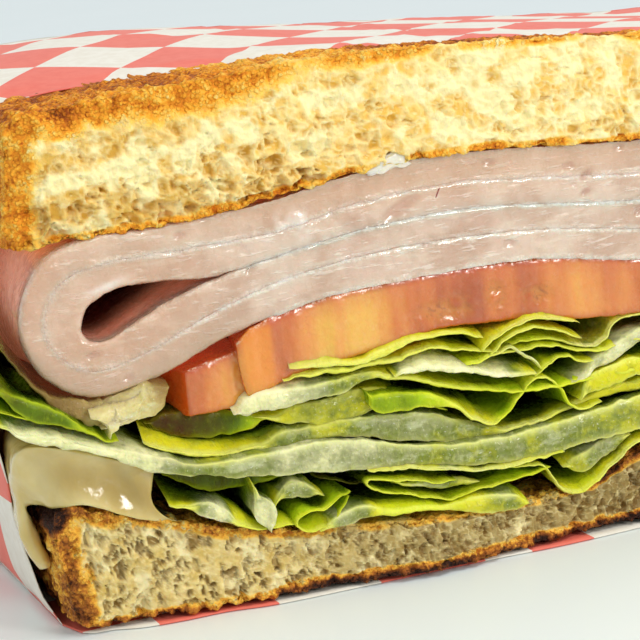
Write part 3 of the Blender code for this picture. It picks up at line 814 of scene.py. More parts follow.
def tomato_piece(name, cuts, place, seed):
    """A piece of a slice: its chambers of gel sit a little behind the flesh, and its rim gets a painted
    highlight.
    """
    data, points, u, v, w = block(name, cuts, place)
    normals = outward(data)
    x, y, z = points.T
    cut = ease(0.5 - v * cuts[1], -0.5, 0.5)
    ribs = grain(points * (1.0, 0.2, 0.16), 2.4, seed, 3)
    wet = grain(points, 0.7, seed + 4, 3)
    speck, _, _ = bubbles(points, 0.42, seed + 9)
    gel = np.zeros(len(x))
    for middle_x, middle_z, wide, tall in TOMATO_GEL:
        gel = np.maximum(gel, np.exp(-(((x - middle_x) / wide) ** 2 + ((z - middle_z) / tall) ** 2) ** 1.5))
    gel = gel * cut * ease(grain(points, 1.3, seed + 6, 2), 0.25, 0.5)
    move = (ribs - 0.5) * 0.55 + (wet - 0.5) * 0.2 - gel * 0.3 + (0.5 - speck) * 0.3 * gel
    settle(data, points + normals * move[:, None])
    keep(data, "gel", gel)
    keep(data, "speck", speck)
    keep(data, "high", w)
    keep(data, "red", level(TOMATO_RED, x) + 0.5 * (ribs - 0.5))
    keep(data, "cut", cut)
    keep(data, "amber", ease(-abs(x - 21.9), -2.3, -1.4) * ease(30.6 - z, 0.0, 1.2))
    return data


def main_slice(u, v, w):
    """The wide slice, a disc cut through near its middle."""
    deep = np.interp(v, (0, 0.2, 1), (0, 0.06, 1))
    y = TOMATO_RADIUS * 0.97 * np.sin(deep * math.pi / 2)
    reach = np.sqrt(TOMATO_RADIUS**2 - (y - TOMATO_MIDDLE[1] * (1 - v)) ** 2)
    swell = (TOMATO_SKIN * (1 - w) - 0.5 * np.sin(math.pi * w)) * np.where(u < 0.5, 0.5, 1.0)
    swell = swell - 0.6 * (u < 0.001) * (1 - v)
    x = TOMATO_MIDDLE[0] + (2 * u - 1) * (reach - swell)
    z = level(TOMATO_LOWER, x) * (1 - w) + (level(TOMATO_UPPER, x) - 0.05) * w
    return settled(x, y + 0.25 * (1 - v) * abs(2 * w - 1) ** 8 - 0.45 * (1 - v), z)


def end_slice(left, right, foot, tilt):
    """An end of the second slice, between two lines of depth and x, from this height at its foot."""
    def place(u, v, w):
        y = 0.6 + (END_BACK - 0.6) * np.interp(v, (0, 0.3, 1), (0, 0.1, 1))
        x = level(left, y) + (level(right, y) - level(left, y)) * u
        return settled(x, y + 0.25 * (1 - v) * abs(2 * w - 1) ** 8, foot + w * (END_FACE + tilt * u))
    return place


tomato_finish, shader, spot = start("ripe_tomato")
high = stored(spot, "high")
chamber = stored(spot, "gel")
streak = noise(spot, 2.4, 3.0, 0.55, stretch=(1.0, 0.3, 0.16))
fleck = noise(spot, 0.35, 2.0, 0.6)
red = (stored(spot, "red") + (streak - 0.5) * 0.8).held()
flesh = red.ramp((0.0, (0.79, 0.42, 0.06)), (0.3, (0.74, 0.28, 0.045)), (0.6, (0.61, 0.165, 0.024)),
                 (0.9, (0.42, 0.085, 0.012)))
flesh = (high.between(0.6, 0.9) * 0.4).blend(flesh, (0.60, 0.15, 0.05))
flesh = (high.between(0.86, 0.97) * 0.6).blend(flesh, (0.52, 0.07, 0.02))
flesh = ((1 - high).between(0.86, 1.0) * 0.6).blend(flesh, (0.50, 0.09, 0.02))
flesh = (chamber * 0.8).blend(flesh, (0.62, 0.22, 0.03))
flesh = (chamber * 0.7 * (1 - stored(spot, "speck").between(0.25, 0.55))).blend(flesh, (0.28, 0.06, 0.006))
# A painted highlight in flecks along the top rim of the cut.
rim_highlight = high.between(0.93, 1.0) * fleck.between(0.45, 0.62) * stored(spot, "cut")
flesh = rim_highlight.blend(flesh, (0.95, 0.66, 0.52))
flesh = (stored(spot, "amber") * 0.75).blend(flesh, (0.80, 0.27, 0.02))
flesh = ((1 - stored(spot, "cut")) * 0.75).blend(flesh, (0.72, 0.10, 0.008))
join(flesh, shader, "Base Color")
join(relief(spot, fleck * 0.3 + noise(spot, 1.1, 2.0), 0.11), shader, "Normal")
join(noise(spot, 0.8, 3.0).between(0.3, 0.75) * 0.26 + 0.14, shader, "Roughness")
steady(shader, {"Subsurface Weight": 0.5, "Subsurface Radius": (1.0, 0.32, 0.10),
                "Subsurface Scale": 0.0022, "Coat Weight": 0.5, "Coat Roughness": 0.1})
wide_mesh = tomato_piece("wide_slice", (230, 24, 26), main_slice, 101)
wide_slice = piece("wide_slice", wide_mesh, tomato_finish)
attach(wide_slice, "root")
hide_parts("tomato_slice")
# The two sides of an end, as pairs of depth and x, then the height of its foot and how its top tilts
LEFT_END = ((0, 14.4), (9, 11.0), (20, 11.6), (34, 17.0)), ((0, 21.2), (12, 20.4), (34, 20.2)), 21.4, 1.4
RIGHT_END = ((0, 88.4), (34, 90.0)), ((0, 101.6), (12, 103.6), (34, 99.0)), 22.0, -0.8
near_mesh = tomato_piece("near_end", (30, 30, 26), end_slice(*LEFT_END), 107)
near_end = piece("near_end", near_mesh, tomato_finish)
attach(near_end, "root")
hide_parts("tomato_end")
far_mesh = tomato_piece("far_end", (40, 30, 20), end_slice(*RIGHT_END), 109)
far_end = piece("far_end", far_mesh, tomato_finish)
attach(far_end, "root")
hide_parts("tomato_last")

# Lettuce
# Torn leaves of crisp green lettuce, cut through with the sandwich: thin wavy green parts and thick
# watery ribs, stacked loosely so that gaps show between them, darkened with painted shade. They run back
# to the crust.

# A leaf is a few strips. The knots of a strip along the cut are x, z, thickness and tint, from 0 for a white
# rib to 1 for dark green, whose darkest end is partly painted shade, on strips that lie in shadow or sit
# back in the gaps. Then come how far back its cut lies and its end, and how it climbs on the way.
LEFT_LEAF = (
    (((-8.0, 29.4, 0.3, 0.8), (-6.0, 27.9, 0.9, 0.84), (-4.6, 26.7, 1.3, 0.84), (-3.2, 25.6, 1.8, 0.8),
      (-1.8, 24.9, 1.8, 0.78), (0.3, 23.9, 1.4, 0.74), (2.4, 22.5, 0.9, 0.7), (4.5, 21.0, 0.5, 0.64),
      (5.8, 20.6, 0.4, 0.6)), -0.6, 30, 0.02),
    (((-7.4, 26.4, 0.3, 0.66), (-5.0, 25.3, 0.5, 0.66), (-2.5, 24.4, 0.6, 0.64), (-0.4, 23.6, 0.6, 0.6),
      (1.6, 22.7, 0.4, 0.58)), -0.2, 20, 0.02),
)
STUB = (
    (((-5.4, 32.6, 0.3, 0.9), (-4.4, 30.9, 0.5, 0.9), (-3.2, 29.1, 0.7, 0.8), (-1.6, 27.1, 0.9, 0.6),
      (0.2, 25.6, 1.4, 0.45), (2.6, 24.4, 2.2, 0.26), (5.2, 23.7, 3.0, 0.1), (8.0, 23.9, 3.4, 0.08),
      (10.4, 24.3, 3.6, 0.18), (11.6, 24.8, 2.4, 0.3), (12.2, 25.0, 0.8, 0.35)), 0.6, 28, 0.0),
    (((4.8, 21.2, 0.2, 0.0), (5.2, 22.2, 1.3, 0.0), (5.5, 23.1, 2.0, 0.0),
      (5.8, 23.9, 0.6, 0.0)), -0.9, 5, 0.0),
    (((3.2, 23.8, 0.5, 0.0), (5.0, 23.2, 1.5, 0.0), (6.8, 23.2, 1.6, 0.0), (8.0, 23.8, 1.5, 0.0),
      (8.9, 24.7, 0.5, 0.0)), -0.8, 5, 0.0),
    (((4.2, 22.2, 0.4, 0.0), (5.3, 22.5, 1.0, 0.0), (6.5, 22.6, 0.9, 0.0),
      (7.6, 22.6, 0.3, 0.0)), -0.7, 5, 0.0),
)
LONG_LEAF = (
    (((-7.2, 25.4, 0.3, 0.4), (-5.2, 23.5, 0.7, 0.05), (-3.4, 22.6, 1.2, 0.0), (-1, 21.75, 1.2, 0.0),
      (2.2, 20.7, 1.1, 0.0), (4.8, 19.7, 1.2, 0.0), (7.7, 18.4, 1.7, 0.0), (10, 17.45, 1.7, 0.06),
      (13, 16.45, 1.3, 0.14), (16, 15.7, 1.5, 0.17), (19.5, 15.1, 2.1, 0.13), (24, 14.7, 2.7, 0.06),
      (28, 14.5, 3.4, 0.07), (32.8, 13.8, 3.2, 0.08), (37, 12.9, 2.6, 0.13), (41, 12.3, 2.3, 0.15),
      (45, 11.5, 2.6, 0.16), (50, 11.2, 3.1, 0.16), (56, 11.3, 3.4, 0.16), (61, 11.9, 3.5, 0.18),
      (67.5, 12.2, 4.0, 0.18), (80, 12.2, 2.6, 0.2), (105, 11.4, 1.6, 0.3)), -1.0, 49, 0.03),
    (((33, 12.0, 0.4, 0.3), (38, 11.4, 0.6, 0.2), (42, 10.6, 0.6, 0.18), (47, 9.5, 0.8, 0.2),
      (52, 9.4, 0.6, 0.25), (57, 9.5, 0.6, 0.5)), -1.4, 26, 0.05),
    (((9.6, 16.2, 0.5, 0.8), (11.6, 15.5, 1.4, 0.86), (14, 14.5, 2.0, 0.88), (16, 13.8, 2.4, 0.86),
      (18, 13.5, 2.0, 0.84), (21, 13.1, 1.2, 0.8), (24, 12.7, 0.8, 0.7)), 1.6, 12, 0.0),
)
UNDER_RIB = (
    (((8.6, 19.5, 0.3, 0.3), (11.5, 18.3, 0.7, 0.3), (14.2, 17.4, 0.9, 0.28), (18, 16.8, 0.8, 0.26),
      (21.5, 16.8, 1.0, 0.22), (24, 16.9, 1.6, 0.18), (28, 17.0, 1.6, 0.2), (33, 16.7, 2.0, 0.16),
      (37, 16.0, 3.0, 0.13), (41, 15.3, 3.2, 0.13), (45, 14.1, 2.4, 0.2), (50, 13.2, 1.1, 0.25),
      (54, 13.2, 0.9, 0.25), (58.5, 13.9, 1.0, 0.3), (64, 15.0, 1.3, 0.3), (84, 14.8, 1.2, 0.3),
      (104, 13.9, 1.0, 0.4)), 0.2, 48, 0.03),
)
PALE_LEAF = (
    (((21.2, 20.1, 0.3, 0.3), (24.3, 19.6, 1.2, 0.3), (27.4, 19.4, 2.3, 0.22), (30.4, 19.1, 3.0, 0.18),
      (33, 19.3, 3.0, 0.2), (35.6, 19.5, 2.4, 0.3), (39, 18.5, 1.1, 0.5),
      (44, 16.6, 0.7, 0.6)), 0.7, 40, 0.03),
    (((9.4, 21.3, 0.5, 1.0), (11.5, 20.9, 2.2, 1.0), (14.5, 20.2, 2.9, 0.98), (18, 19.8, 2.8, 0.86),
      (21, 19.5, 1.9, 0.55), (23, 19.4, 0.8, 0.4)), 1.6, 24, 0.0),
)
FOLD_LEAF = (
    (((18.6, 21.3, 0.3, 0.02), (19.8, 21.6, 1.4, 0.0), (21.4, 21.9, 2.0, 0.0), (24, 21.8, 2.1, 0.0),
      (27.5, 21.7, 1.5, 0.08), (31, 21.9, 1.5, 0.15), (34.5, 22.2, 1.2, 0.2), (37, 21.9, 1.0, 0.3),
      (40, 21.0, 0.9, 0.35), (43.5, 19.9, 0.9, 0.4), (48, 18.6, 0.8, 0.5), (53, 17.4, 0.7, 0.55),
      (66, 17.2, 0.9, 0.5), (86, 17.0, 0.9, 0.5), (102, 16.2, 0.9, 0.5)), -0.9, 47, 0.05),
)
FRILL = (
    (((34.0, 20.4, 0.5, 0.6), (35.2, 19.2, 2.0, 0.62), (38, 18.9, 2.0, 0.68), (41.3, 18.4, 1.5, 0.5),
      (44.2, 17.2, 0.9, 0.4), (46.4, 15.5, 0.8, 0.3), (48.4, 14.4, 0.6, 0.3), (50.5, 15.5, 0.6, 0.6),
      (51.8, 17.0, 0.6, 0.5), (53.1, 18.2, 0.6, 0.45), (54.4, 18.8, 0.7, 0.4), (55.7, 18.5, 0.6, 0.4),
      (56.8, 17.5, 0.6, 0.5), (57.8, 16.2, 0.6, 0.55), (58.3, 14.9, 0.6, 0.5), (59.6, 14.2, 0.6, 0.4),
      (62.4, 14.4, 0.5, 0.4)), -1.0, 22, 0.02),
)
MIDDLE_LEAF = (
    (((24.6, 23.6, 0.5, 0.35), (28.5, 23.8, 1.0, 0.32), (33, 23.6, 1.0, 0.3), (38, 23.8, 1.0, 0.3),
      (42.2, 24.2, 0.8, 0.32), (45.7, 23.4, 0.7, 0.35), (50, 22.4, 0.6, 0.38), (56, 21.9, 0.6, 0.4),
      (62, 20.4, 0.7, 0.4), (68, 20.6, 0.8, 0.35), (84, 20.0, 0.8, 0.5),
      (104, 18.6, 0.8, 0.5)), -0.7, 48, 0.04),
    (((37.2, 21.9, 0.4, 0.3), (38.5, 22.3, 1.0, 0.02), (42, 22.1, 1.1, 0.0), (46, 21.1, 1.0, 0.0),
      (50, 20.2, 0.9, 0.0), (54.2, 19.6, 0.6, 0.3)), -1.6, 30, 0.05),
    (((44, 21.4, 0.5, 0.5), (48.4, 21.9, 0.8, 0.4), (51.6, 22.7, 0.8, 0.2), (53.4, 21.6, 0.8, 0.1),
      (54.7, 20.4, 0.7, 0.15), (55.3, 19.4, 0.4, 0.4)), -0.9, 24, 0.0),
)
UPPER_LEAF = (
    (((25.4, 24.8, 0.4, 0.3), (29.2, 24.7, 0.9, 0.26), (33, 24.3, 0.9, 0.26), (37, 24.9, 1.1, 0.26),
      (41, 25.6, 0.8, 0.31), (44.5, 25.5, 0.8, 0.3), (48.4, 24.4, 0.6, 0.37)), -1.1, 26, 0.05),
    (((48.0, 22.9, 0.5, 0.37), (50, 24.1, 0.6, 0.3), (51.9, 25.0, 0.6, 0.28), (54, 25.5, 0.7, 0.26),
      (55.6, 25.5, 0.7, 0.26), (57.6, 24.9, 0.7, 0.26), (60.4, 23.9, 0.5, 0.3)), -1.2, 26, 0.04),
    (((49, 22.4, 0.5, 0.37), (50.9, 23.6, 0.6, 0.33), (52.9, 24.4, 0.6, 0.33), (55, 24.4, 0.6, 0.33),
      (57.4, 23.6, 0.6, 0.31), (60.2, 22.2, 0.4, 0.31)), -1.4, 26, 0.03),
    (((50, 22.6, 0.5, 0.52), (55.7, 22.9, 0.7, 0.44), (59.9, 21.3, 0.8, 0.22), (61.9, 20.9, 0.8, 0.18),
      (63.6, 21.4, 0.8, 0.16), (65.2, 23.2, 0.7, 0.22), (70, 23.4, 0.7, 0.3),
      (103, 21.4, 0.8, 0.37)), -0.3, 46, 0.02),
    (((54.4, 18.8, 0.5, 0.44), (55.6, 19.4, 0.6, 0.44), (57.7, 20.4, 0.6, 0.44), (59, 20.2, 0.6, 0.44),
      (60.2, 19.3, 0.5, 0.37), (61.8, 19.2, 0.4, 0.37)), -0.8, 22, 0.03),
    (((58.4, 17.2, 0.5, 0.22), (60.4, 17.5, 0.9, 0.05), (62.2, 18.6, 1.3, 0.03), (65, 19.7, 1.5, 0.03),
      (68, 21.0, 1.5, 0.05), (73, 21.6, 1.0, 0.22)), -0.6, 30, 0.0),
    (((59.6, 15.2, 0.5, 0.3), (60.6, 16.3, 1.3, 0.26), (62.5, 16.9, 2.2, 0.3), (65, 17.3, 2.4, 0.3),
      (67.4, 17.5, 2.0, 0.3), (72, 17.4, 1.0, 0.37)), -0.9, 26, 0.0),
)
LOW_LEFT = (
    (((10.4, 12.8, 0.3, 0.35), (12.4, 12.3, 0.8, 0.28), (14.2, 11.7, 1.5, 0.04), (16, 10.5, 1.4, 0.02),
      (17.6, 9.3, 0.9, 0.3), (20.8, 8.2, 0.6, 0.4), (24, 7.9, 0.4, 0.5)), -1.0, 34, 0.03),
    (((19.6, 13.3, 0.7, 0.3), (20.1, 11.8, 1.1, 0.12), (20.7, 10.1, 2.4, 0.02), (21.1, 8.6, 1.6, 0.0),
      (21.1, 7.8, 0.6, 0.1)), -1.6, 4, 0.0),
)
LOW_CURL = (
    (((21.9, 9.9, 0.4, 0.4), (23.0, 11.1, 1.1, 0.2), (24.6, 11.6, 1.7, 0.12), (26.4, 11.0, 1.3, 0.15),
      (28.0, 10.3, 0.5, 0.4)), -0.6, 14, 0.0),
    (((30.6, 10.4, 0.4, 0.7), (29.2, 9.7, 0.4, 0.6), (27.8, 9.0, 0.45, 0.55), (25.8, 9.1, 0.45, 0.55),
      (24.3, 8.5, 0.45, 0.5), (24.0, 7.7, 0.5, 0.45), (25.0, 6.9, 0.5, 0.45), (26.8, 6.9, 0.5, 0.45),
      (28.4, 7.6, 0.5, 0.5), (29.5, 8.6, 0.4, 0.6), (30.4, 9.9, 0.4, 0.7)), -1.6, 26, 0.0),
)
LOW_FRONT = (
    (((26.5, 7.0, 0.6, 0.4), (29, 7.4, 1.4, 0.12), (31.5, 7.8, 1.5, 0.15), (34, 7.3, 1.1, 0.4),
      (38, 6.7, 1.0, 0.45), (42, 6.2, 1.1, 0.4), (46, 5.9, 1.8, 0.25), (49.5, 5.4, 1.8, 0.12),
      (51.6, 5.1, 1.0, 0.4)), -2.0, 32, 0.06),
)
LOW_BACK = (
    (((43.5, 9.0, 0.5, 0.5), (39.5, 9.6, 0.5, 0.45), (35.6, 10.6, 0.5, 0.45), (34, 11.1, 0.5, 0.45),
      (33, 11.1, 0.5, 0.45), (32.6, 10.6, 0.5, 0.4), (33.2, 10.0, 0.5, 0.45), (37.4, 8.7, 0.5, 0.5),
      (41.2, 7.5, 0.5, 0.5), (42.6, 7.0, 0.5, 0.5), (45, 7.3, 0.5, 0.5),
      (55, 8.0, 0.5, 0.6)), -1.2, 44, 0.0),
    (((36, 9.9, 0.5, 0.4), (39.5, 9.1, 1.1, 0.15), (43, 8.5, 1.3, 0.15),
      (46.5, 8.2, 0.9, 0.3)), -0.4, 20, 0.0),
    (((27.8, 12.2, 0.5, 0.95), (30, 11.2, 0.6, 0.95), (33, 10.0, 0.6, 0.95),
      (37, 9.4, 0.6, 0.9)), 2.6, 20, 0.0),
)
RIGHT_LEAF = (
    (((49.4, 9.0, 0.4, 0.5), (52.1, 8.7, 0.6, 0.35), (54.2, 8.3, 0.6, 0.35), (55.2, 7.0, 0.6, 0.3),
      (56.4, 5.4, 0.8, 0.25), (58.4, 4.6, 0.9, 0.35), (60.4, 5.3, 0.8, 0.4), (63.3, 7.2, 0.7, 0.25),
      (66, 8.8, 0.6, 0.25), (70, 9.2, 0.6, 0.4)), -1.2, 38, 0.03),
    (((57.2, 7.4, 0.6, 0.3), (59.6, 7.6, 2.0, 0.15), (62.4, 8.7, 1.8, 0.12),
      (66, 10.0, 0.9, 0.2)), -0.4, 24, 0.0),
)
# Where the gaps between the leaves stay open, and are darkened with painted shade: x, z, half width and half
# height
POCKETS = ((14.5, 13.8, 5.2, 2.0), (53.8, 15.0, 4.6, 2.8), (41.0, 19.7, 3.2, 0.9), (46.5, 18.5, 3.4, 1.0),
           (-3.2, 27.3, 2.2, 1.8), (31.4, 10.6, 2.2, 1.5), (33.5, 9.0, 3.0, 0.8), (45.0, 9.0, 4.0, 1.1),
           (11.6, 22.4, 1.6, 0.9), (58.5, 20.9, 2.6, 0.7), (54.0, 21.6, 2.0, 0.8),
           (27.0, 9.8, 1.6, 0.8), (54.6, 8.0, 1.8, 1.2))


def thickness(knots, share):
    """The leaf's thickness: its thin parts are drawn out thinner than its ribs."""
    run = run_of([k[:2] for k in knots])
    stated = curve(run, [k[2] for k in knots], share * run[-1])
    return stated * (0.45 + 0.55 * ease(stated, 0.7, 1.6))


def cut_line(knots):
    """Points along a strip's cut: x, z and half its thickness."""
    t = np.linspace(0, 1, 70)
    x, z, _, _ = along([k[:2] for k in knots], t)
    return np.stack([x, z, thickness(knots, t) / 2], 1)


ALL_LEAVES = (LEFT_LEAF, STUB, LONG_LEAF, UNDER_RIB, PALE_LEAF, FOLD_LEAF, FRILL, MIDDLE_LEAF, UPPER_LEAF,
              LOW_LEFT, LOW_CURL, LOW_FRONT, LOW_BACK, RIGHT_LEAF)
# What lies over the leaves: the fold of the turkey at the left, then the tomato
under_meat = np.linspace(-2.0, LENGTH, 300)
left_ceiling = ((-2, 27.5), (5.2, 25.4), (11, 26.6), (14, 21.6), (20, 21.6))
ceiling = np.where(under_meat < 21.0, level(left_ceiling, under_meat), level(TOMATO_LOWER, under_meat))
CUT_LINES = np.concatenate([cut_line(spec[0]) for leaf in ALL_LEAVES for spec in leaf]
                           + [np.stack([under_meat, ceiling, 0 * under_meat], 1)])


def pocket_shares(x, z):
    """For each open gap between the leaves: 1 in its middle, 0 well outside it."""
    return [np.exp(-(((x - px) / wide) ** 2 + ((z - pz) / tall) ** 2) ** 2)
            for px, pz, wide, tall in POCKETS]


def climb(knots):
    """How far a strip climbs behind its cut, at 41 places along it: most of the way to what lies above."""
    t = np.linspace(0, 1, 41)
    x, z, _, _ = along([k[:2] for k in knots], t)
    top = z + thickness(knots, t) / 2
    gap = CUT_LINES[None, :, 1] - CUT_LINES[None, :, 2] - top[:, None]
    far = (abs(CUT_LINES[None, :, 0] - x[:, None]) > 0.6) | (gap < 0.15)
    room = np.minimum(np.where(far, 9.0, gap).min(axis=1), 2.6)
    for share in pocket_shares(x, z + 0.5):
        room = room * (1 - 0.9 * share)
    smooth = np.convolve(np.pad(room, 3, mode="edge"), np.ones(7) / 7, mode="valid")
    return t, smooth * (0.9 - 0.45 * ease(x, 26, 38))


def strip(knots, front, back, rise, seed, ragged):
    """One strip of leaf: its steps each way, where its points go, and its tint and depth there."""
    line = [k[:2] for k in knots]
    run = run_of(line)
    thickest = max(k[2] for k in knots)
    steps = (int(np.clip(run[-1] / 0.34, 14, 250)), 20, int(np.clip(thickest / 0.34, 4, 9)))
    stations, lift = climb(knots)

    def depth(v):
        return np.interp(v, (0, 0.5, 0.7, 1), (0, 4.0, 9, back - front))

    def place(u, v, w):
        x, z, nx, nz = along(line, u)
        ends = np.clip(np.minimum(u, 1 - u) * run[-1] / 1.3, 0.03, 1) ** 0.6
        half = thickness(knots, u) * (w - 0.5) * ends
        y = depth(v)
        edge = 0.9 * (grain(np.stack([x, z, 0 * x], 1), 2.6, seed, 3) - 0.5) + 0.3 * abs(2 * w - 1) ** 4
        inwards = ease(y, 0.0, 7.0)
        wave = np.sin(u * run[-1] / 1.9 + seed + 0.25 * y) * 0.16
        wave = wave + np.sin(u * run[-1] / 4.3 + 2 * seed - 0.2 * y) * 0.3
        notch = grain(np.stack([x, z, 3.0 * w], 1), 1.1, seed + 4, 3) - 0.5
        half = half * (1 - 0.35 * inwards) + wave * (0.3 + inwards)
        frill = grain(np.stack([x, z, 0 * x], 1), 1.4, seed + 9, 3) - 0.5
        half = half + frill * 0.55 * (1 - inwards) * (1 - ease(thickness(knots, u), 0.5, 1.6))
        half = half + notch * ragged * (1 - inwards) * (2 * w - 1) * ease(thickness(knots, u), 0.4, 1.2)
        z = z + rise * np.minimum(y, 14.0) + curve(stations, lift, u) * (1 - np.exp(-y / 1.8))
        x, y, z = settled(x + nx * half, y + front, z + nz * half)
        return x, y + edge * (1 - v) ** 4, z

    def look(u, v):
        """Tint, 1 where the leaf is too thin for its cut to show its inside, and depth behind the cut."""
        tint = curve(run, [k[3] for k in knots], u * run[-1])
        return tint, 1 - ease(thickness(knots, u), 0.5, 1.2), depth(v)

    return steps, place, look


STRIP_STEP = 3.0  # between the cubes that become the strips of one leaf


def lettuce_leaf(name, strips, seed, ragged=0.45):
    """All the strips of one leaf as one mesh, with its tint, cut rim and depth kept at each point."""
    mesh = bmesh.new()
    made = [strip(*spec, seed + 7 * i, ragged) for i, spec in enumerate(strips)]
    for i, (steps, _, _) in enumerate(made):
        bmesh.ops.create_cube(mesh, size=1.0, matrix=Matrix.Translation((STRIP_STEP * i, 0, 0)))
        cut_grid(mesh, steps, STRIP_STEP * i)
    data = bpy.data.meshes.new(name)
    mesh.to_mesh(data)
    mesh.free()
    grid = points_of(data)
    which = np.round(grid[:, 0] / STRIP_STEP).astype(int)
    u, v, w = grid[:, 0] - STRIP_STEP * which + 0.5, grid[:, 1] + 0.5, grid[:, 2] + 0.5
    points = np.zeros((len(u), 3))
    tint, thin, behind = np.zeros((3, len(u)))
    for i, (_, place, look) in enumerate(made):
        own = which == i
        points[own] = np.stack(place(u[own], v[own], w[own]), 1)
        tint[own], thin[own], behind[own] = look(u[own], v[own])
    crinkle = grain(points, 2.2, seed + 50, 3) - 0.5
    blister, _, _ = bubbles(points, 0.8, seed + 60)
    front = v < 0.001
    juicy = front * (1 - ease(tint, 0.15, 0.4))
    middle = 1 - abs(2 * w - 1) ** 3
    swollen = juicy * middle * ((0.45 - blister) * 0.35 + crinkle * 0.5 + 0.12)
    moved = points - (0, 1, 0) * swollen[:, None]
    moved[:, 2] += crinkle * 0.45
    settle(data, moved)
    keep(data, "juicy", juicy * middle)
    keep(data, "tint", tint)
    cut_rim = np.maximum(abs(2 * w - 1) ** 4, thin * 0.8)
    keep(data, "rim", np.where(front, cut_rim, ease(0.06 - v, 0.0, 0.06) * 0.6))
    # Painted shade darkens the faces with depth behind the cut and in the open pockets; between the upper
    # leaves it starts further in.
    open_light = 1 + 0.9 * ease(points[:, 2], 18.5, 21.5)
    keep(data, "near", 1 - ease(behind / open_light, 0.5, 3.8))
    shade = np.maximum.reduce(pocket_shares(points[:, 0], points[:, 2])) * ease(behind, 0.15, 1.3)
    far_in = ease(np.maximum(behind, points[:, 1] - 1.0) / open_light, 3.0, 10.0)
    keep(data, "deep", np.maximum(far_in, shade))
    return data


def lettuce_finish(name, faces, rims, inner, dark):
    """Wet leaf: stops of colour from a white rib to the dark green for its faces and its cut rims, then
    the painted shade of its faces a little way in behind the cut, and the painted shade of its depths."""
    material, shader, spot = start(name)
    tint = stored(spot, "tint") + (noise(spot, 3.5, 3.0) - 0.5) * 0.3 + (noise(spot, 0.9, 2.0) - 0.5) * 0.1
    tint = tint.held()
    leafy = tint.ramp(*faces)
    veins = noise(spot, 0.8, 3.0, 0.6, stretch=(1.5, 0.25, 1.0)).between(0.5, 0.7)
    leafy = (veins * 0.25).blend(leafy, tint.ramp(*rims))
    # Painted shade on the faces a little way behind the cut.
    leafy = ((1 - stored(spot, "near")) * 0.85).blend(leafy, inner)
    fibre = noise(spot, 1.6, 4.0, 0.65, stretch=(0.4, 1.0, 1.0))
    juicy = stored(spot, "juicy")
    green = tint.between(0.0, 0.25)
    leafy = (juicy * fibre.between(0.52, 0.66) * (0.7 - green * 0.45)).blend(leafy, (0.70, 0.71, 0.42))
    leafy = (juicy * (1 - fibre).between(0.52, 0.66) * (green * 0.5 + 0.2)).blend(leafy, (0.18, 0.23, 0.05))
    # Near-white specks on the ribs' cut: painted highlight.
    leafy = (juicy * noise(spot, 0.3, 2.0).between(0.64, 0.72) * 0.4).blend(leafy, (0.92, 0.94, 0.80))
    leafy = (stored(spot, "rim") * 0.9).blend(leafy, tint.ramp(*rims))
    # Painted shade in the depths and the open pockets.
    leafy = (stored(spot, "deep") * 0.95).blend(leafy, dark)
    join(leafy, shader, "Base Color")
    cells = cellular(spot, 0.6) * juicy * 0.9 + noise(spot, 0.6, 3.0) * 0.7 + veins * 0.35
    join(relief(spot, cells, 0.2), shader, "Normal")
    join(noise(spot, 1.0, 3.0).between(0.3, 0.7) * 0.28 + 0.12, shader, "Roughness")
    join((1 - tint.between(0.15, 0.4) * 0.7) * 0.14, shader, "Coat Weight")
    steady(shader, {"Coat Roughness": 0.06, "Specular IOR Level": 0.12, "Subsurface Weight": 0.4,
                    "Subsurface Radius": (0.7, 1.0, 0.18), "Subsurface Scale": 0.0012})
    return material


leaf_finish = lettuce_finish(
    "crisp_leaf",
    ((0.0, (0.82, 0.78, 0.40)), (0.07, (0.38, 0.38, 0.18)), (0.16, (0.19, 0.225, 0.028)),
     (0.28, (0.70, 0.64, 0.015)), (0.42, (0.58, 0.62, 0.012)), (0.56, (0.38, 0.52, 0.008)),
     (0.74, (0.11, 0.17, 0.005)), (1.0, (0.065, 0.024, 0.002))),
    ((0.0, (0.92, 0.89, 0.54)), (0.22, (0.84, 0.84, 0.20)), (0.55, (0.76, 0.82, 0.035)),
     (0.8, (0.38, 0.48, 0.015)), (1.0, (0.16, 0.10, 0.01))),
    (0.22, 0.34, 0.005), (0.010, 0.028, 0.001))
LEAVES = (
    ("left_leaf", LEFT_LEAF, "leaf_left", 201), ("long_leaf", LONG_LEAF, "leaf_long", 211),
    ("under_rib_leaf", UNDER_RIB, "leaf_under_rib", 221), ("pale_leaf", PALE_LEAF, "leaf_pale", 231),
    ("fold_leaf", FOLD_LEAF, "leaf_fold", 241), ("frill_leaf", FRILL, "leaf_frill", 251),
    ("middle_leaf", MIDDLE_LEAF, "leaf_middle", 261), ("upper_leaf", UPPER_LEAF, "leaf_upper", 271),
    ("low_left_leaf", LOW_LEFT, "leaf_low_left", 281), ("low_curl_leaf", LOW_CURL, "leaf_low_curl", 291),
    ("low_front_leaf", LOW_FRONT, "leaf_low_front", 301), ("low_back_leaf", LOW_BACK, "leaf_low_back", 311),
    ("right_leaf", RIGHT_LEAF, "leaf_right", 321),
)
for name, strips, node, seed in LEAVES:
    leaf = piece(name, lettuce_leaf(name, strips, seed), leaf_finish, crease=0.9)
    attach(leaf, "root")
    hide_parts(node)
rib_finish = lettuce_finish(
    "pale_rib",
    ((0.0, (0.72, 0.60, 0.26)), (0.12, (0.60, 0.46, 0.17)), (0.25, (0.38, 0.24, 0.08)),
     (0.5, (0.24, 0.14, 0.04)), (0.85, (0.11, 0.065, 0.016))),
    ((0.0, (0.80, 0.70, 0.34)), (0.15, (0.66, 0.52, 0.20)), (0.35, (0.48, 0.32, 0.10)),
     (0.6, (0.24, 0.16, 0.04)), (0.9, (0.12, 0.08, 0.018))),
    (0.22, 0.11, 0.03), (0.06, 0.025, 0.006))
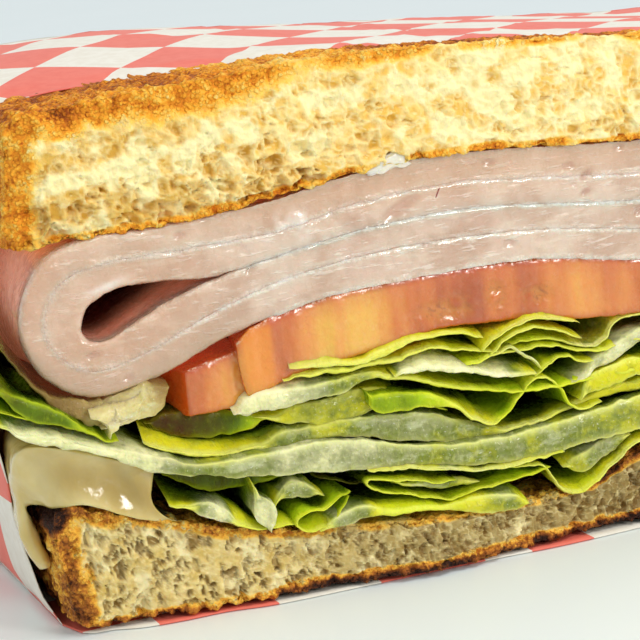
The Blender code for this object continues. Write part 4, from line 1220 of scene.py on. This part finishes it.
stub = piece("stub_of_rib", lettuce_leaf("stub_of_rib", STUB, 331, ragged=1.3), rib_finish, crease=0.9)
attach(stub, "root")
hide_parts("rib_stub")

# Mayonnaise
# A glossy pool squeezed out between the long leaf and the lower slice, with a drip down the left
# crust, and a dab under the upper slice. It is thick cream sauce that clings and bulges.

# Its upper and lower outline, as x and z, from the right end leftwards and down the drip
POOL_OUTER = (
    (9.6, 16.5), (6.8, 17.9), (3.7, 19.2), (1.4, 20.1), (-0.6, 20.9), (-2.6, 21.2), (-4.0, 20.6),
    (-4.6, 18.6), (-4.5, 16.2), (-4.2, 13.8), (-4.2, 12.0), (-3.9, 10.2), (-3.3, 8.2), (-2.4, 6.6),
)
POOL_INNER = (
    (11.6, 10.4), (8.6, 11.1), (5.6, 12.3), (3.4, 13.6), (1.4, 14.4), (-0.3, 14.3), (-1.4, 14.0),
    (-2.2, 13.8), (-3.0, 13.4), (-2.7, 12.2), (-2.4, 11.0), (-2.0, 9.6), (-1.6, 8.3), (-1.3, 6.9),
)
POOL_FRONT = (0, 0, 0, 0, 0.2, 1.2, 3.0, 4.8, 6.2, 6.8, 7.0, 7.0, 6.6, 6.2)  # how far back each knot lies


def pool(u, v, w):
    """The pool from its right end to the foot of its drip: hollow between its edges, then bulging."""
    n = len(POOL_OUTER) - 1
    stops = np.arange(n + 1)
    x, z = (curve(stops, [k[i] for k in POOL_INNER], u * n) * (1 - w)
            + curve(stops, [k[i] for k in POOL_OUTER], u * n) * w for i in (0, 1))
    back = 34.0 - 22.0 * ease(u, 0.3, 0.6)
    behind = np.interp(v, (0, 0.4, 1), (0, 0.16, 1))
    x = x - 1.7 * np.sin(math.pi * w ** 0.75) * (1 - ease(u, 0.0, 0.12))
    hollow = 1.1 * np.sin(math.pi * w) * (1 - ease(u, 0.35, 0.55)) * ease(u, 0.0, 0.12)
    bulge = 0.4 * np.sin(math.pi * w) * ease(u, 0.5, 0.7)
    edge = 0.7 * abs(2 * w - 1) ** 4 + 0.5 * ease(0.08 - u, 0.0, 0.08) + 0.8 * ease(u - 0.96, 0.0, 0.04)
    front = 0.1 + curve(stops, POOL_FRONT, u * n) + hollow - bulge + edge * 0.7
    return settled(x, front * (1 - behind) + back * behind, z)


data, points, u, v, w = block("mayonnaise_pool", (90, 24, 30), pool)
normals = outward(data)
settle(data, points + normals * ((grain(points, 3.0, 401, 2) - 0.5) * 0.8)[:, None])
keep(data, "middle", np.sin(math.pi * w) * (1 - ease(u, 0.3, 0.5)) * (1 - v))
sauce_finish, shader, spot = start("cream_sauce")
sauce = noise(spot, 4.0, 2.0).between(0.3, 0.7).blend((0.60, 0.44, 0.125), (0.70, 0.56, 0.24))
sauce = (stored(spot, "middle") * 0.8).blend(sauce, (0.40, 0.26, 0.045))
join(sauce, shader, "Base Color")
join(relief(spot, noise(spot, 1.6, 2.0), 0.2), shader, "Normal")
steady(shader, {"Roughness": 0.22, "Subsurface Weight": 0.5, "Subsurface Radius": (1.0, 0.7, 0.3),
                "Subsurface Scale": 0.0018, "Coat Weight": 0.6, "Coat Roughness": 0.12})
sauce_pool = piece("sauce_pool", data, sauce_finish)
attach(sauce_pool, "root")
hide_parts("mayonnaise")
mesh = bmesh.new()
bmesh.ops.create_uvsphere(mesh, u_segments=48, v_segments=32, radius=1.0)
data = bpy.data.meshes.new("dab")
mesh.to_mesh(data)
mesh.free()
ball = points_of(data)
lumpy = 1 + 1.3 * (grain(ball * (1.0, 1.0, 1.4), 0.9, 411, 2) - 0.5)
smear = ball * lumpy[:, None] * (2.3, 0.32, 0.8)
smear[:, 2] += 0.35 * smear[:, 0] - 0.5 * np.maximum(smear[:, 0] - 0.5, 0)
settle(data, smear + (39.7, -0.05, 45.1))
dab_finish = sauce_finish.copy()
dab_finish.name = "white_sauce"
dab_tree = dab_finish.node_tree
dab_spot = Wire(dab_tree).node("ShaderNodeTexCoord", out=3)
white = noise(dab_spot, 0.002, 2.0).blend((0.86, 0.71, 0.52), (0.95, 0.85, 0.70))
join(white, dab_tree.nodes["Principled BSDF"], "Base Color")
dab = piece("sauce_dab", data, dab_finish)
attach(dab, "root")
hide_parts("mayonnaise_dab")

# Paper
# One sheet of deli paper with red checks, laid under the sandwich and brought up round its back,
# its sides and over its top, open at the cut face. It is thin, a little creased and lightly waxed.
PAPER_BACK = DEPTH + 2.2
SHEET = 0.12  # thickness
WRAP_STEPS = (100, 46, 46)
# How far back the sheet's open edge lies: along x under and over the bread, and up its left and right wall
BASE_EDGE = ((0, 8.4), (1.3, 4.2), (4.2, 3.3), (7, 1.9), (11.5, 1.1), (16.3, 0.8), (21.5, -0.5), (33, -1.2),
             (46, -1.9), (55, -2.7), (65, -2.7), (90, -2.0), (108, -0.6))
LEFT_EDGE = ((0, 8.9), (3, 9.6), (5.9, 10), (8.3, 11), (11.3, 10.8), (13.9, 10.1), (19.4, 8), (26, 9),
             (34, 13), (48, 17), (58, 17))
LEFT_WALL = ((0, 0.6), (1, 1.5), (2.5, 2.2), (6, 2.9), (10, 3.5), (18, 4.9), (30, 6.2), (45, 5.2), (60, 1.6))
RIGHT_EDGE = ((0, -0.6), (6, 4), (20, 10), (40, 10), (58, 4))
TOP_EDGE = ((0, 17), (20, 14), (40, 7.5), (60, 4.5), (108, 4))
WALL_GAP = 1.6
WALL_BELLY = 4.6
TOP_RISE = 2.2
WALL = 57.0
CHECK = 15.5  # across the corners of one check
FIRST_CHECK = (18.45, 36.75)  # moves the two diagonal rows of checks along the top's edge
WALL_CHECK = 13.0  # a side of a check on the left wall
WALL_CORNER = (22.0, 13.5)  # how far back and how high a corner of the left wall's checks lies
FOOT_BANDS = (-4, 8.3, 21.4, 33.2, 45.9, 51.2, 58.9, 71, 84, 96, 108)  # the sides of the checks below


def wrap_height(x, y):
    """How high the sheet lies over the upper slice."""
    lift = ease(y, 10.0, 44.0) * (1 - 1.15 * ease(x, 10.0, 80.0))
    rest = -0.12 + 0.55 * ease(y - level(TOP_EDGE, x), 0.3, 4.0)
    return level(TOP_UPPER, x) + rest + TOP_RISE * lift + 0.5 * np.sin(x / 9.0) * ease(y, 12.0, 30.0)


mesh = bmesh.new()
bmesh.ops.create_cube(mesh, size=2.0)
cut_grid(mesh, WRAP_STEPS)
open_side = [face for face in mesh.faces if all(v.co.y < -0.9999 for v in face.verts)]
bmesh.ops.delete(mesh, geom=open_side, context="FACES")
bmesh.ops.recalc_face_normals(mesh, faces=mesh.faces)
data = bpy.data.meshes.new("checked_wrap")
mesh.to_mesh(data)
mesh.free()
a, b, c = points_of(data).T
foot, top, rear, left = c < -0.9999, c > 0.9999, b > 0.9999, a < -0.9999
share = (a + 1) / 2
z = (c + 1) / 2 * WALL
wall_edge = np.where(a < 0, level(LEFT_EDGE, z), level(RIGHT_EDGE, z))
edge = np.where(top, level(TOP_EDGE, share * LENGTH), wall_edge)
edge = np.where(foot, level(BASE_EDGE, share * LENGTH), edge)
y = edge + (PAPER_BACK - edge) * (b + 1) / 2
past = np.maximum(y - (PAPER_BACK - CORNER), 0.0)
tuck = CORNER - np.sqrt(np.maximum(CORNER**2 - past**2, 0.0))
belly = WALL_GAP + WALL_BELLY * np.sin(math.pi * np.minimum(z / 60.0, 1.0)) * ease(y, -4, 16)
belly = np.where(a < 0, level(LEFT_WALL, z), belly)
x = LENGTH / 2 + a * (LENGTH / 2 + belly - 0.9 * tuck)
z = np.where(top, wrap_height(x, y), np.where(foot, 0.0, z / WALL * wrap_height(x, y)))
flat_points = np.stack([x, y, z], 1)
settle(data, flat_points)
# Shallow creases, pressed inwards, with the foot laid flat
crease = abs(grain(flat_points * (1.0, 0.6, 0.8), 15.0, 501, 2) - 0.5) * 2
push = np.where(foot, 0.0, (np.minimum(crease * 4, 1) - 0.75) * 0.5)
moved = flat_points - outward(data) * abs(push)[:, None] * 0.9
lowest = -PAPER - GAP + SHEET
moved[:, 2] = np.where(foot, lowest, np.maximum(moved[:, 2], lowest))
settle(data, moved)
# Where the print runs. On the top and the back it follows the sheet straight back and down, and on the
# right wall it goes down from the top's edge. A wall's print also goes round the back corner.
round_corner = y - past + CORNER * np.arcsin(past / CORNER)
along_sheet = np.where(top | (a < 0), x, LENGTH + 58.0 - z)
back_run = np.where(top, y, round_corner)
side_a = (along_sheet - back_run + FIRST_CHECK[0]) / CHECK
side_b = (along_sheet + back_run - FIRST_CHECK[1]) / CHECK
down_back = y + wrap_height(x, y) - z
back_a, back_b = (x - down_back + FIRST_CHECK[0]) / CHECK, (x + down_back - FIRST_CHECK[1]) / CHECK
# Down the left wall the checks turn level.
turn = ease(z, 20.0, 52.0)
swing, size = turn * math.pi / 4, WALL_CHECK - 2.04 * turn
wall_back, wall_up = round_corner - WALL_CORNER[0], z - WALL_CORNER[1]
wall_a = (wall_up * np.sin(swing) - wall_back * np.cos(swing)) / size - 3 - 0.374 * turn
wall_b = (wall_up * np.cos(swing) + wall_back * np.sin(swing)) / size - 4 - 0.097 * turn
side_a, side_b = np.where(left & ~top, wall_a, side_a), np.where(left & ~top, wall_b, side_b)
foot_a, foot_b = np.interp(x, FOOT_BANDS, np.arange(len(FOOT_BANDS))), (y + 8.0) / 12.5
corners = np.empty(len(data.loops), np.int32)
data.loops.foreach_get("vertex_index", corners)


def whole(marked):
    """True at each corner of the faces whose four points are all marked."""
    return np.repeat(marked[corners].reshape(-1, 4).all(axis=1), 4)


# Kept at each corner of each face, so that the print breaks sharply where the sheet is folded
for name, on_side, on_back, on_foot in (("check_a", side_a, back_a, foot_a),
                                        ("check_b", side_b, back_b, foot_b)):
    printed = np.where(whole(rear), on_back[corners], on_side[corners])
    printed = np.where(whole(foot), on_foot[corners], printed)
    data.attributes.new(name, "FLOAT", "CORNER").data.foreach_set("value", printed.astype(np.float32))
paper_finish, shader, spot = start("checked_deli_paper")
check_a, check_b = stored(spot, "check_a"), stored(spot, "check_b")
odd = (check_a.math("FLOOR") + check_b.math("FLOOR")).math("FLOORED_MODULO", 2.0)
fibre = noise(spot, 1.4, 4.0, 0.6)
ink = fibre.between(0.25, 0.75).blend((0.78, 0.14, 0.095), (0.82, 0.175, 0.12))
sheet_white = fibre.between(0.3, 0.7).blend((0.76, 0.69, 0.585), (0.82, 0.765, 0.67))
join(odd.blend(sheet_white, ink), shader, "Base Color")
join(relief(spot, fibre, 0.05), shader, "Normal")
steady(shader, {"Roughness": 0.55})
data.materials.append(paper_finish)
data.shade_smooth()
wrap = bpy.data.objects.new("checked_wrap", data)
bpy.context.scene.collection.objects.link(wrap)
sheet_wall = wrap.modifiers.new("sheet_thickness", "SOLIDIFY")
sheet_wall.thickness = SHEET * MM
sheet_wall.offset = -1.0
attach(wrap, "root")
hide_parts("paper_wrap")

# Floor
# A smooth white counter, wide enough to fill the view and pale enough to throw light back up.
mesh = bmesh.new()
bmesh.ops.create_grid(mesh, x_segments=1, y_segments=1, size=3.0)
counter_mesh = bpy.data.meshes.new("counter")
mesh.to_mesh(counter_mesh)
mesh.free()
counter = bpy.data.objects.new("counter", counter_mesh)
bpy.context.scene.collection.objects.link(counter)
counter_finish, shader, spot = start("counter_white")
counter_white = noise(spot, 90.0, 2.0).blend((0.86, 0.91, 0.91), (0.89, 0.93, 0.93))
join(counter_white, shader, "Base Color")
steady(shader, {"Roughness": 0.35})
counter_mesh.materials.append(counter_finish)
